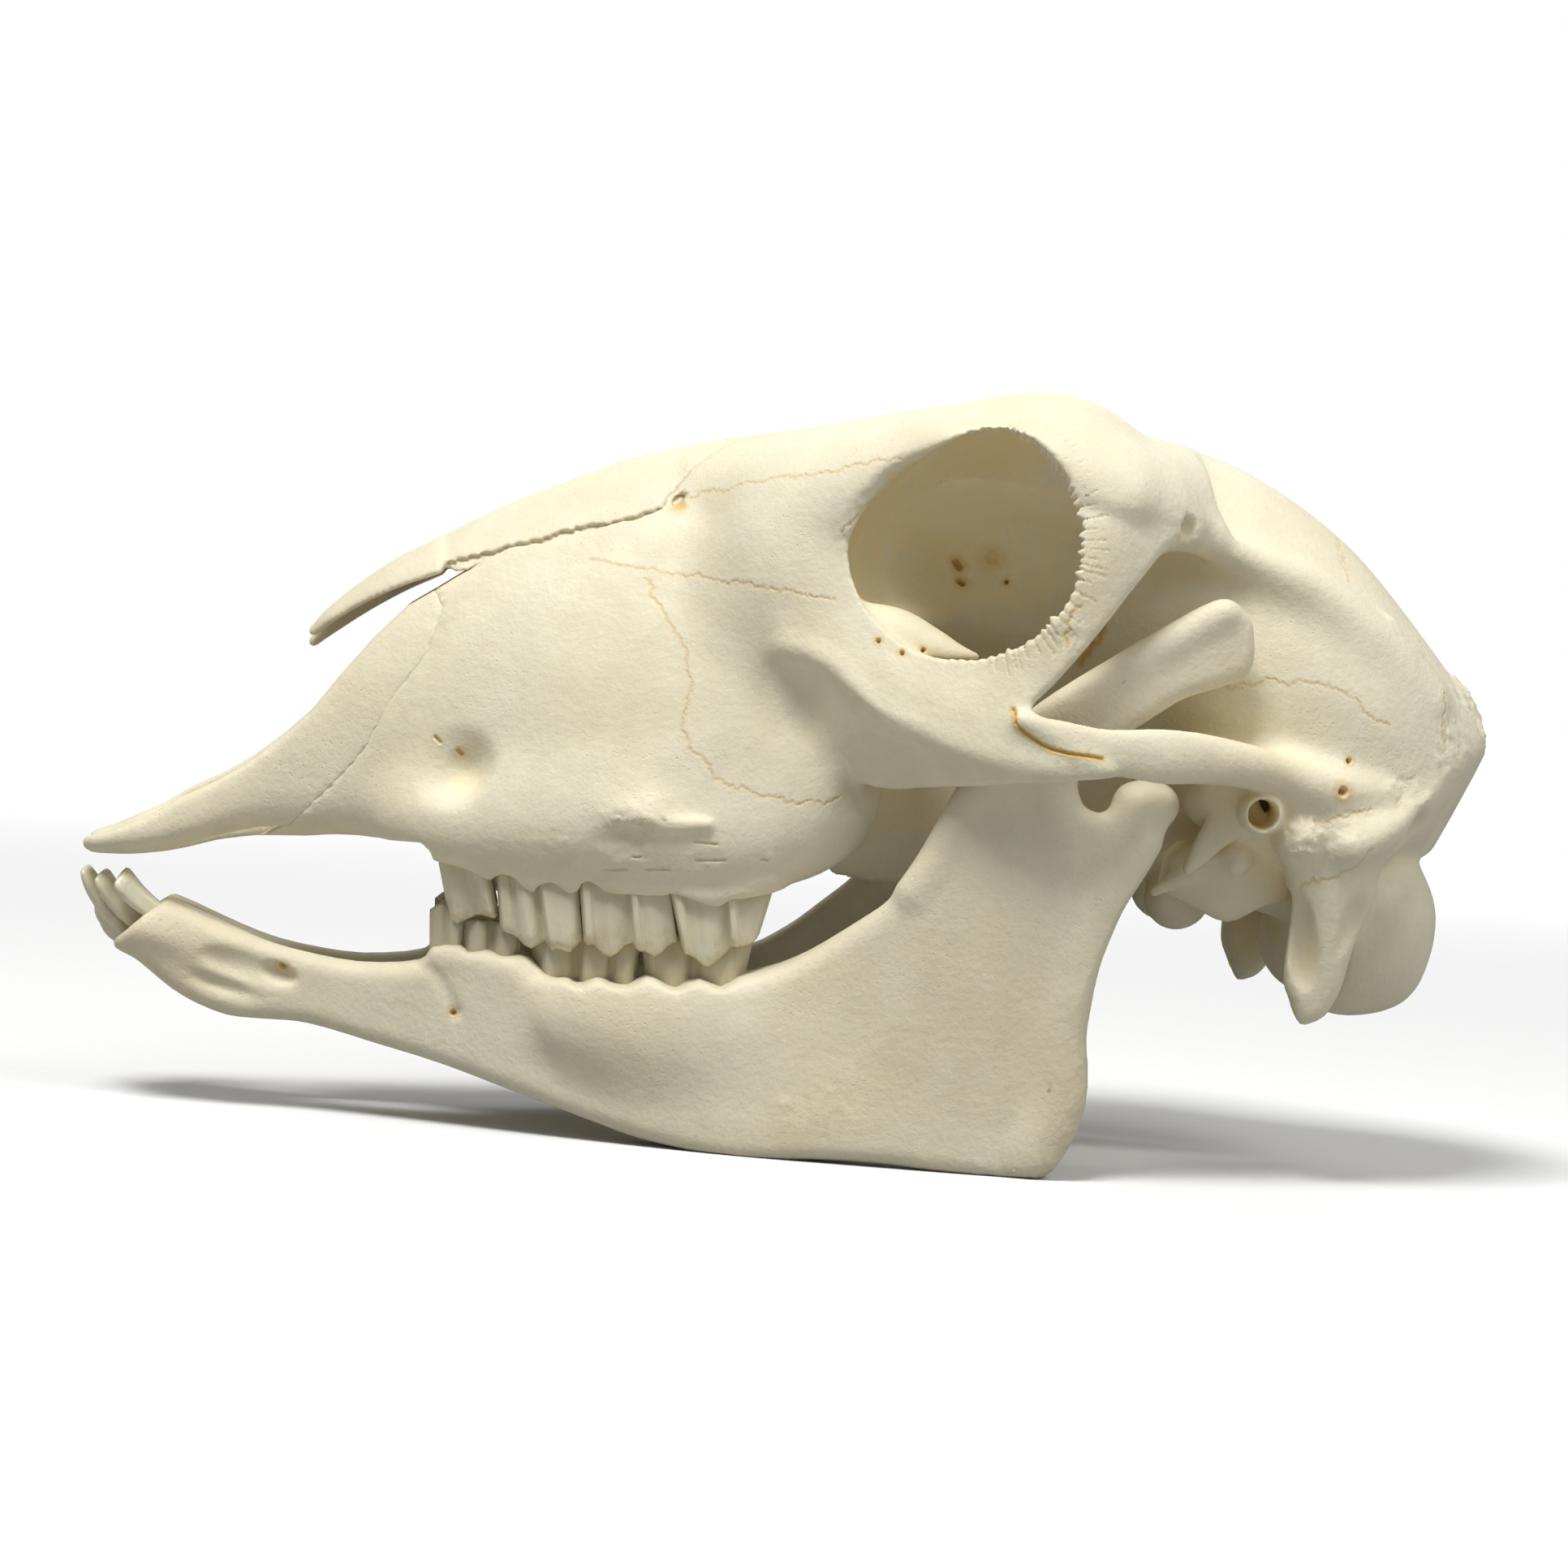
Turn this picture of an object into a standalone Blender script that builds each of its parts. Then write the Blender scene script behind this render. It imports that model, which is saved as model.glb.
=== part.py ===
# A sheep's skull with its lower jaw, life size, as a museum shows it.
#
# Sizes are in millimetres, in the frame in which the skull was measured: X runs from the nose to
# the nape, Z is up, Y is zero on the middle plane, and X and Z are zero midway along the upper jaw.
# At the end everything is turned a few degrees, so that the two lower jaws stand level on the floor.
#
# Each bone is drawn as solid forms (lofted hulls, eggs and struts) on a grid of distances, where
# forms run into one another with a fillet, as bone does, and is then made a mesh.
# The teeth are small lofted meshes, joined to their bone with one Boolean union.

import math

import bmesh
import bpy
import numpy as np
import openvdb
from mathutils import Matrix, Vector

# Driving sizes
METRES = 0.001
GRID = 0.8
FINE_GRID = 0.6
GAP = 0.36
FAR = 40.0
REST_TILT_DEG = 4.1
ROLL_DEG = 2.6
ROLL_AXIS_Z = -24.0
FLOOR_Z = -58.0
SET_DOWN = (-0.6, 1.6, 58.0)
NASAL_DROP = 2.4

ORBIT_CENTRE = (24.5, 46.0, 38.5)
ORBIT_DEPTH = (19.0, 27.0, 16.5)
ORBIT_UNDERCUT = 2.0
CHEEK_HALF = 2.0
NASAL_WALL = 2.2
FORAMEN_MAGNUM = 9.0


# Curves and distances

def fair(stations, values):
    """A smooth curve through values set by hand, which never overshoots them."""
    x = np.asarray(stations, float)
    y = np.asarray(values, float)
    width = np.diff(x)
    slope = np.diff(y) / width
    both = slope[1:] * slope[:-1]
    steepness = np.zeros_like(y)
    with np.errstate(divide="ignore", invalid="ignore"):
        steepness[1:-1] = np.where(both > 0, 2 * both / (slope[1:] + slope[:-1]), 0)
    steepness[0], steepness[-1] = slope[0], slope[-1]

    def curve(at):
        at = np.clip(at, x[0], x[-1])
        i = np.clip(np.searchsorted(x, at) - 1, 0, len(width) - 1)
        t = (at - x[i]) / width[i]
        start = (1 + 2 * t) * (1 - t) ** 2 * y[i] + t * (1 - t) ** 2 * width[i] * steepness[i]
        end = t * t * (3 - 2 * t) * y[i + 1] + t * t * (t - 1) * width[i] * steepness[i + 1]
        return start + end

    return curve


def path(points, per_span=6):
    """Points along a smooth line through a few points, each of any number of coordinates."""
    points = np.asarray(points, float)
    ends = np.vstack([2 * points[0] - points[1], points, 2 * points[-1] - points[-2]])
    found = []
    for a, b, c, d in zip(ends, ends[1:], ends[2:], ends[3:]):
        for t in np.arange(per_span) / per_span:
            found.append(0.5 * (2 * b + (c - a) * t + (2 * a - 5 * b + 4 * c - d) * t * t
                                + (3 * b - a - 3 * c + d) * t ** 3))
    return np.array(found + [points[-1]])


def joined(a, b, fillet):
    """The union of two distances, with a fillet of about that size where they meet."""
    if fillet <= 0:
        return np.minimum(a, b)
    h = np.clip(0.5 + 0.5 * (b - a) / fillet, 0, 1)
    return b + (a - b) * h - fillet * h * (1 - h)


class Bone:
    """Distances to a bone's surface in mm, below zero inside it, on a grid over one side of the skull."""

    def __init__(self, low, high, step, values=None):
        self.low = low
        self.high = high
        self.step = step
        self.axes = [np.arange(a, b + step, step, dtype=np.float32) for a, b in zip(low, high)]
        if values is None:
            values = np.full([len(axis) for axis in self.axes], FAR, np.float32)
        self.values = values

    def copy(self):
        return Bone(self.low, self.high, self.step, self.values.copy())

    def soften(self, times):
        """Rounds creases off by averaging each distance with its neighbours."""
        for _ in range(times):
            for axis in range(3):
                edges = [(1, 1) if k == axis else (0, 0) for k in range(3)]
                # the middle plane mirrors, every other side goes on as it is
                wide = np.pad(self.values, edges, mode="reflect" if axis == 1 else "edge")
                take = [slice(None)] * 3
                parts = []
                for start in range(3):
                    take[axis] = slice(start, start + self.values.shape[axis])
                    parts.append(wide[tuple(take)])
                self.values = 0.25 * parts[0] + 0.5 * parts[1] + 0.25 * parts[2]

    def window(self, low, high):
        return tuple(slice(*np.searchsorted(axis, (a, b)))
                     for axis, a, b in zip(self.axes, low, high))

    def grid(self, window):
        return np.ix_(*(axis[part] for axis, part in zip(self.axes, window)))

    def add(self, form, fillet=3.0):
        low, high, distance = form
        margin = fillet + 2 * self.step
        window = self.window(np.subtract(low, margin), np.add(high, margin))
        self.values[window] = joined(self.values[window], distance(*self.grid(window)), fillet)

    def cut(self, form, fillet=2.0):
        low, high, distance = form
        margin = fillet + 2 * self.step
        window = self.window(np.subtract(low, margin), np.add(high, margin))
        self.values[window] = -joined(-self.values[window], distance(*self.grid(window)), fillet)

    def keep(self, distance, fillet=0.0):
        """Keeps what lies where the distance is below zero."""
        whole = self.grid((slice(None),) * 3)
        self.values = -joined(-self.values, -distance(*whole), fillet)


def egg(centre, radii, turn=(0, 0, 0)):
    """An ellipsoid, turned by degrees about X, Y and Z."""
    spin = Matrix.Identity(3)
    for axis, angle in zip("XYZ", turn):
        spin = Matrix.Rotation(math.radians(angle), 3, axis) @ spin
    back = np.array(spin.transposed(), np.float32)
    reach = np.sqrt((np.array(spin) ** 2) @ (np.array(radii, float) ** 2))

    def distance(x, y, z):
        x, y, z = x - centre[0], y - centre[1], z - centre[2]
        near = far = 0
        for row, radius in zip(back, radii):
            along = row[0] * x + row[1] * y + row[2] * z
            near = near + (along / radius) ** 2
            far = far + (along / radius ** 2) ** 2
        near, far = np.sqrt(near), np.sqrt(far)
        return near * (near - 1) / np.maximum(far, 1e-6)

    return np.subtract(centre, reach), np.add(centre, reach), distance


def hull(rows):
    """A hull lofted along X. Each row: x, top, height of the widest part, bottom, half width,
    and how square the section is above and below its widest part (2 is round)."""
    rows = np.array(rows, float)
    lines = [fair(rows[:, 0], column) for column in rows[:, 1:].T]
    start, end = rows[0, 0], rows[-1, 0]

    def distance(x, y, z):
        top, wide, bottom, half, square_up, square_low = (line(x).astype(np.float32) for line in lines)
        above = z > wide
        height = np.where(above, top - wide, wide - bottom)
        square = np.where(above, square_up, square_low)
        share = (np.abs(y) / half) ** square + (np.abs(z - wide) / height) ** square
        share = np.maximum(share, 1e-4) ** (1 / square)
        reach = np.sqrt(y * y + (z - wide) ** 2)
        section = reach - reach / share
        beyond = np.maximum(start - x, x - end)
        outside = np.hypot(np.maximum(section, 0), np.maximum(beyond, 0))
        return outside + np.minimum(np.maximum(section, beyond), 0)

    low = (start, -rows[:, 4].max(), rows[:, 3].min())
    return low, (end, rows[:, 4].max(), rows[:, 1].max()), distance


def strut(rows, face):
    """A bar along a smooth line. Each row: x, y, z, half width and half thickness. The bar is thin
    along the direction face."""
    points = path(rows)
    face = np.array(face, float) / np.linalg.norm(face)
    most = points[:, 3:].max()

    def distance(x, y, z):
        shape = np.broadcast_shapes(x.shape, y.shape, z.shape)
        found = np.full(shape, FAR, np.float32)
        reach = most + 12
        for a, b in zip(points, points[1:]):
            low, high = np.minimum(a, b)[:3] - reach, np.maximum(a, b)[:3] + reach
            window = tuple(slice(*np.searchsorted(axis.ravel(), pair))
                           for axis, pair in zip((x, y, z), zip(low, high)))
            qx, qy, qz = x[window[0]] - a[0], y[:, window[1]] - a[1], z[:, :, window[2]] - a[2]
            along = b[:3] - a[:3]
            length = np.linalg.norm(along)
            along = along / length
            thin = face - along * (face @ along)
            thin = thin / np.linalg.norm(thin)
            wide = np.cross(along, thin)
            run = qx * along[0] + qy * along[1] + qz * along[2]
            t = np.clip(run / length, 0, 1)
            past = run - t * length
            across = qx * wide[0] + qy * wide[1] + qz * wide[2]
            through = qx * thin[0] + qy * thin[1] + qz * thin[2]
            half_wide = a[3] + (b[3] - a[3]) * t
            half_thin = a[4] + (b[4] - a[4]) * t
            near = np.sqrt((across / half_wide) ** 2 + (through / half_thin) ** 2
                           + (past / half_thin) ** 2)
            far = np.sqrt((across / half_wide ** 2) ** 2 + (through / half_thin ** 2) ** 2
                          + (past / half_thin ** 2) ** 2)
            here = near * (near - 1) / np.maximum(far, 1e-6)
            here = np.where(near < 0.05, -half_thin, here)
            found[window] = np.minimum(found[window], here)
        return found

    return points[:, :3].min(axis=0) - most, points[:, :3].max(axis=0) + most, distance


def outline_distance(corners, x, z):
    """Distance in the XZ plane to a closed outline, below zero inside."""
    found = np.full(np.broadcast_shapes(x.shape, z.shape), 1e9)
    inside = np.zeros(found.shape, bool)
    for (ax, az), (bx, bz) in zip(corners, np.roll(corners, -1, axis=0)):
        ex, ez = bx - ax, bz - az
        t = np.clip(((x - ax) * ex + (z - az) * ez) / (ex * ex + ez * ez + 1e-9), 0, 1)
        found = np.minimum(found, (x - ax - t * ex) ** 2 + (z - az - t * ez) ** 2)
        crosses = (az > z) != (bz > z)
        with np.errstate(divide="ignore", invalid="ignore"):
            inside ^= crosses & (x < ax + (z - az) * ex / (ez if ez else 1e-9))
    return np.where(inside, -np.sqrt(found), np.sqrt(found))


def plate(corners, line, fillet, low_at=-50, high_at=-20):
    """A plate with an outline in the XZ plane. Its distance from the middle plane and its half
    thickness change along it, and between a low and a high level."""
    corners = path(np.vstack([corners, corners[:1]]), 3)[:-1]
    stations = sorted(line)
    mid_low, mid_high, half_low, half_high = (
        fair(stations, [line[x][i] for x in stations]) for i in range(4))

    def distance(x, y, z):
        high = np.clip((z - low_at) / (high_at - low_at), 0, 1)
        mid = mid_low(x) * (1 - high) + mid_high(x) * high
        half = half_low(x) * (1 - high) + half_high(x) * high
        side = (np.abs(y - mid) - half).astype(np.float32)
        around = outline_distance(corners, x, z).astype(np.float32)
        return -joined(-side, -around, fillet)

    widest = max(max(line[x][0] + line[x][2], line[x][1] + line[x][3]) for x in stations)
    inmost = min(min(line[x][0] - line[x][2], line[x][1] - line[x][3]) for x in stations)
    low, high = corners.min(axis=0), corners.max(axis=0)
    return (low[0], inmost, low[1]), (high[0], widest, high[1]), distance


def sheet(points):
    """A smooth surface through a few points (x, z, y): its distance from the middle plane."""
    points = np.array(points, float)
    count = len(points)

    def pull(x, z, px, pz):
        reach = (x - px) ** 2 + (z - pz) ** 2
        return reach * np.log(reach + 1e-6)

    system = np.zeros((count + 3, count + 3))
    system[:count, :count] = pull(points[:, :1], points[:, 1:2], points[:, 0], points[:, 1])
    system[:count, count:] = np.column_stack([np.ones(count), points[:, :2]])
    system[count:, :count] = system[:count, count:].T
    weights = np.linalg.solve(system, np.append(points[:, 2], np.zeros(3)))

    def height(x, z):
        found = weights[count] + weights[count + 1] * x + weights[count + 2] * z
        for (px, pz, _), weight in zip(points, weights):
            found = found + weight * pull(x, z, px, pz)
        return found

    return height


def draped(corners, points, half, fillet):
    """A plate with an outline in the XZ plane that lies along a sheet through a few points."""
    corners = path(np.vstack([corners, corners[:1]]), 3)[:-1]
    height = sheet(points)

    def distance(x, y, z):
        mid = height(x, z)
        slope = np.hypot(*np.gradient(mid[:, 0, :], x.ravel(), z.ravel()))[:, None, :]
        side = ((np.abs(y - mid) - half) / np.sqrt(1 + slope * slope)).astype(np.float32)
        around = outline_distance(corners, x, z).astype(np.float32)
        return -joined(-side, -around, fillet)

    reach = np.array(points, float)[:, 2]
    low, high = corners.min(axis=0), corners.max(axis=0)
    return (low[0], reach.min() - 9, low[1]), (high[0], reach.max() + 4, high[1]), distance


# The upper skull

FACE = [
    # x, top, widest, bottom, half width, squareness above and below
    (-114, -5.0, -8.4, -10.0, 6.0, 2.0, 2.0),
    (-111.5, -3.5, -8.0, -10.6, 9.5, 2.0, 2.2),
    (-106, 1.0, -7, -10.8, 12.2, 2.0, 2.4),
    (-98, 6.5, -5, -9.7, 13.0, 2.0, 2.6),
    (-91, 12.0, -2, -8.2, 12.6, 2.0, 2.8),
    (-84, 18.5, 2, -7.7, 12.4, 2.0, 3.0),
    (-76, 26.5, 5, -7.8, 13.0, 2.0, 3.5),
    (-68, 33.0, 6, -7.8, 15.0, 2.0, 4.0),
    (-58, 39.4, 5, -8.0, 18.5, 1.9, 4.5),
    (-46, 45.5, 4, -8.0, 23.0, 1.8, 5.0),
    (-34, 50.2, 3, -8.0, 27.5, 1.7, 5.0),
    (-22, 54.2, 3, -7.5, 30.0, 1.65, 5.0),
    (-10, 56.2, 4, -7.0, 31.0, 1.7, 4.5),
    (0, 57.0, 6, -6.0, 30.0, 1.9, 4.0),
    (8, 57.6, 10, -3.0, 27.0, 2.1, 3.0),
    (14, 58.0, 20, 4.0, 19.0, 2.3, 2.0),
]
BRAINCASE = [
    (-5, 55.0, 34, 2.0, 16.0, 2.0, 2.0),
    (8, 57.8, 38, -2.0, 16.5, 2.6, 1.5),
    (20, 60.0, 40, -4.0, 17.5, 3.0, 1.4),
    (32, 61.0, 40, -6.0, 19.0, 3.0, 1.4),
    (42, 60.4, 36, -9.0, 21.5, 2.8, 1.5),
    (52, 57.9, 30, -11.0, 26.0, 2.3, 1.7),
    (62, 56.1, 24, -12.5, 29.5, 2.1, 1.9),
    (72, 52.9, 18, -13.0, 31.5, 2.0, 2.1),
    (82, 47.4, 14, -13.0, 32.0, 2.0, 2.3),
    (92, 39.5, 10, -13.0, 31.0, 2.0, 2.4),
    (100, 30.4, 6, -13.0, 28.5, 2.0, 2.4),
    (107, 20.8, 2, -12.0, 24.5, 2.1, 2.4),
    (114, 11.0, -2, -10.0, 17.0, 2.2, 2.4),
]
ROOF = [
    (-16, 54.0, 46, 40, 13.0, 2.0, 2.0),
    (-5, 56.6, 45, 35, 23.0, 2.0, 2.0),
    (5, 58.2, 46, 33, 32.0, 2.3, 2.0),
    (14, 59.8, 48, 37, 37.5, 2.8, 2.0),
    (24, 61.4, 50, 41, 42.6, 3.5, 2.0),
    (34, 62.4, 50, 43, 45.8, 3.3, 2.0),
    (43, 62.1, 48, 41, 48.0, 2.6, 2.0),
    (51, 60.0, 46, 38, 46.4, 2.2, 2.0),
    (58, 57.0, 46, 37, 39.0, 2.4, 2.0),
    (66, 54.6, 43, 35, 31.0, 2.2, 2.0),
]


def add_shell(bone):
    """The outside of the face, forehead and braincase, before any opening is cut."""
    bone.add(hull(FACE), 0)
    bone.add(hull(BRAINCASE), 2)
    bone.add(hull(ROOF), 2)
    # the cheek in front of the socket, and the swelling of the forehead where a horn would stand
    bone.add(egg((5, 19, 34), (19, 14, 21), (0, 20, 0)), 6)
    bone.add(egg((41, 23, 54.8), (14, 15, 8.6), (0, 8, 0)), 4)
    # the wall between the two eye sockets
    bone.add(strut([(0, 14, 36, 17, 9), (20, 13.5, 37, 15, 9.5), (40, 15, 36, 14, 10)], (0, 1, 0)), 4)
    # the part of the upper jaw that holds the cheek teeth, ending behind in the tuber
    sockets = [(-59, 15.6, -4.2, 4.4, 4.6), (-53.5, 18.4, -5.0, 6.2, 5.4), (-47, 19.6, -5.5, 7.6, 5.6), (-34, 22.5, -6.0, 9.0, 6.5),
               (-20, 24.4, -6.0, 9.8, 7.5), (-6, 25.0, -5.0, 10.0, 7.5), (3.5, 23.5, -2.4, 9.2, 6.8),
               (8.6, 20.5, 1.6, 6.6, 5.2)]
    bone.add(strut(sockets, (0, 1, 0)), 9)
    bone.soften(3)


def cranium():
    """The fused upper skull, without the nose bones."""
    bone = Bone((-119, 0, -42), (121, 57, 70), GRID)
    add_shell(bone)
    # nape: its rough knob, the crest round it and the slanting rear wall
    bone.add(egg((106.0, 0, 9.5), (8.6, 15, 9.0), (0, 25, 0)), 2)
    bone.add(strut([(112.5, 0, 7, 2.4, 2.4), (109.5, 12, 5.5, 2.4, 2.4), (104, 22, 1.5, 3.0, 2.6),
                    (96, 29, -4.5, 3.2, 3), (87, 32.5, -8, 4, 3.2)], (1, 0, -1)), 3)
    bone.cut(beyond((115.2, 4.4), (103.6, -16.5), 0.013), 2)
    # the hollow of the socket, open behind and below, before the cheek and the arch cross it
    bone.cut(both(egg(ORBIT_CENTRE, ORBIT_DEPTH), egg((39, 42, 29), (19, 19, 17)), 8), 3)
    bone.cut(egg((37, 37, 12), (12.5, 14, 15)), 5)
    add_cheek(bone)
    open_orbit(bone)
    add_temple(bone)
    add_skull_base(bone)
    add_face_forms(bone)
    return bone


def both(first, second, fillet):
    """Two forms run into one."""
    (low_a, high_a, one), (low_b, high_b, two) = first, second
    return (np.minimum(low_a, low_b), np.maximum(high_a, high_b),
            lambda x, y, z: joined(one(x, y, z), two(x, y, z), fillet))


def beyond(first, second, bend=0.0):
    """All that lies to the left of the line from one point of the middle plane to another, as the
    skull is seen with its nose to the left. With a bend, the surface curves towards the sides."""
    (ax, az), (bx, bz) = first, second
    length = math.hypot(ax - bx, az - bz)

    def distance(x, y, z):
        return ((x + bend * y * y - ax) * (bz - az) - (z - az) * (bx - ax)) / length

    return (-130, -60, -70), (130, 60, 70), distance


RIM = [
    # the edge of the eye socket, seen from the side, with its distance from the middle plane
    (7.9, 31.8, 40.6), (10.6, 32.4, 45.6), (15.0, 33.4, 50.2), (22.0, 36.2, 55.2), (28.0, 38.6, 57.6),
    (33.4, 41.0, 57.4), (38.2, 43.8, 53.4), (41.4, 46.8, 48.0), (42.8, 48.8, 42.0), (42.0, 49.6, 35.0),
    (39.2, 49.2, 29.4), (33.8, 47.6, 24.6), (26.4, 44.6, 22.2), (18.0, 40.6, 23.4), (11.6, 36.4, 28.4),
    (8.4, 33.4, 34.8),
]
CHEEK = [
    # the cheek, the bar behind the eye and the root of the arch, seen from the side
    (10, 47), (3, 42), (-1, 33), (-3, 25), (-1.5, 21.5), (3.6, 13), (7.0, 5), (13, 1.8), (22, 2.6),
    (30, 3.4), (38, 4.0), (44, 4.4), (47, 5.6), (43, 7.8), (38.4, 9.8), (35.4, 12.0), (34.6, 15.0),
    (38, 18.6), (42, 23), (47, 28.8), (51.4, 34), (55.5, 38.6), (58.6, 44), (55, 51), (46, 55),
    (30, 50), (18, 48),
]
CHEEK_SHEET = [
    # x, z and the distance from the middle plane
    (0, 44, 26), (-3, 34, 27.5), (-4, 26, 28.5), (-1, 23.4, 31.0), (5.6, 20.6, 34.6), (9, 16.8, 36.8),
    (13, 13.6, 39.4), (20, 10.9, 43.2), (27, 8.2, 46.4), (34, 6.6, 48.2), (40, 5.6, 48.8),
    (46, 5.2, 48.8), (2, 12, 28.0), (6.4, 7, 28.6), (12, 5, 32.5), (18, 4, 37.4), (24, 3.4, 42.4),
    (32, 3.6, 47.0), (36, 14.5, 48.0), (40, 20, 48.0), (46, 27, 47.0), (50.5, 34, 45.2),
    (55, 40, 41.6), (58, 45, 36.6), (50, 48, 43.4), (44, 55, 38),
]


def rim_height(x, z):
    """Distance of the socket's edge from the middle plane, which grows towards the back and down."""
    return 42 + 0.47 * (x - 25) - 0.16 * (z - 40)


def open_orbit(bone):
    """The eye socket's sharp edge, under which the bone is hollowed out."""
    edge = path(np.array([(x, z) for x, y, z in RIM + RIM[:1]]), 3)[:-1]

    def distance(x, y, z):
        below = np.clip((rim_height(x, z) - 2.0 - y) / 5.0, 0, 1)
        around = outline_distance(edge, x, z).astype(np.float32)
        around = around - ORBIT_UNDERCUT * below * below * (3 - 2 * below)
        return np.maximum(around, rim_height(x, z) - 11 - y)

    bone.cut(((5, 16, 18), (46, 60, 62), distance), 1.0)
    # the thin-walled swelling in the floor, with its free point
    swelling = [(8, 30.5, 24.0, 5, 4.5), (14, 31.5, 23.0, 5, 4.6), (20, 33, 21.2, 4.0, 3.6),
                (24, 34.4, 20.6, 2.2, 2.0), (27, 35.2, 20.8, 0.7, 0.8)]
    bone.add(strut(swelling, (0, 0, 1)), 2)


def add_cheek(bone):
    """The cheek with its crest, the bar behind the eye, and the arch back to the ear."""
    edge = [(x, z, y - CHEEK_HALF + 0.4) for x, y, z in RIM]
    bone.add(draped(CHEEK, CHEEK_SHEET + edge, CHEEK_HALF, 1.6), 4)
    crest = [(-1, 31.6, 23.8, 1.6, 1.6), (5.6, 35.8, 20.4, 1.7, 1.7), (12.6, 40.4, 14.0, 1.7, 1.7),
             (20, 44.0, 11.2, 1.6, 1.6), (27, 46.8, 8.4, 1.5, 1.6), (38, 49.0, 6.2, 1.3, 1.4)]
    bone.add(strut(crest, (-0.35, 1, 0)), 2.5)
    temporal = [(33.4, 50.2, 13.4, 0.9, 1.0), (39, 49.8, 11.4, 2.0, 1.3), (46, 48.8, 8.8, 3.2, 1.5),
                (55, 46.8, 7.6, 4.2, 1.7), (62, 44.0, 7.0, 3.8, 2.2), (69, 40.0, 5.6, 3.0, 2.8),
                (76, 35.4, 3.4, 2.4, 2.6), (84, 32.6, 1.4, 2.0, 2.2), (92, 29.6, 0.6, 2.0, 2.2)]
    bone.add(strut(temporal, (0.3, 1, 0)), 2.5)
    # the shelf between the arch and the braincase, which is also the roof of the jaw joint
    shelf = [(58, 35.0, 7.2, 7.0, 2.2), (66, 34.0, 6.0, 7.5, 2.6), (75, 31.0, 3.6, 6.0, 3.0),
             (84, 28.5, 1.0, 5.0, 3.0)]
    bone.add(strut(shelf, (0, 0, 1)), 4)


PARACONDYLAR = [
    (77.0, -5.0), (77.6, -13.4), (78.8, -15.8), (78.6, -19.8), (78.0, -24.7), (77.6, -29.5),
    (78.6, -32.6), (80.2, -36.4), (81.8, -36.6), (83.8, -35.8), (85.4, -34.1), (87.0, -30.9),
    (88.1, -27.2), (89.4, -22.7), (92.0, -17.5), (93.0, -13.8), (92.9, -9.0), (92.4, -3.0),
]
PARACONDYLAR_LINE = {
    76: (28.4, 30.4, 1.5, 2.6),
    84: (28.0, 30.8, 1.7, 3.4),
    94: (24.6, 27.0, 1.5, 2.8),
}
EAR_BULB = [(58.8, -15.6), (64.0, -18.2), (69.4, -20.6), (74.6, -18.4), (79.6, -16.2), (79.0, -8.0),
            (62.0, -8.0)]
EAR_BULB_LINE = {
    58: (21.0, 22.0, 3.0, 4.4),
    69.4: (22.4, 23.4, 3.0, 5.2),
    80: (21.0, 22.0, 3.0, 4.6),
}


def add_temple(bone):
    """The temporal line, the ear opening, the mastoid and the process below it."""
    line = [(57, 37.5, 44, 2.6, 2.6), (63, 33.0, 40.6, 2.2, 2.2), (72, 29.5, 37, 2.0, 2.0),
            (83, 27.5, 32, 2.0, 2.0), (93, 25.5, 24, 2.0, 2.0), (101, 23.0, 15, 2.2, 2.2)]
    bone.add(strut(line, (0, 1, 0)), 7)
    bone.add(strut([(68, 26, 0, 6, 6.5), (79, 25.5, -1.5, 9, 8.8), (90, 23.5, -4, 8, 8)], (0, 1, 0)), 5)
    bone.add(strut([(74, 27, 1, 4, 4), (72.8, 34.6, -2.0, 3.8, 3.8)], (1, 0, 0)), 2)
    bone.cut(strut([(73.5, 29, -1, 1.8, 1.8), (72.6, 40, -2.2, 2.3, 2.3)], (1, 0, 0)), 0.6)
    bone.add(egg((79.2, 31.4, -5.8), (4.6, 3.6, 4.6)), 2)
    bone.add(plate(PARACONDYLAR, PARACONDYLAR_LINE, 2.2, -36, -8), 2.5)
    bone.cut(egg((80.9, 33.2, -25.0), (2.9, 3.4, 9.0), (0, -4, 0)), 1.5)


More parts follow.
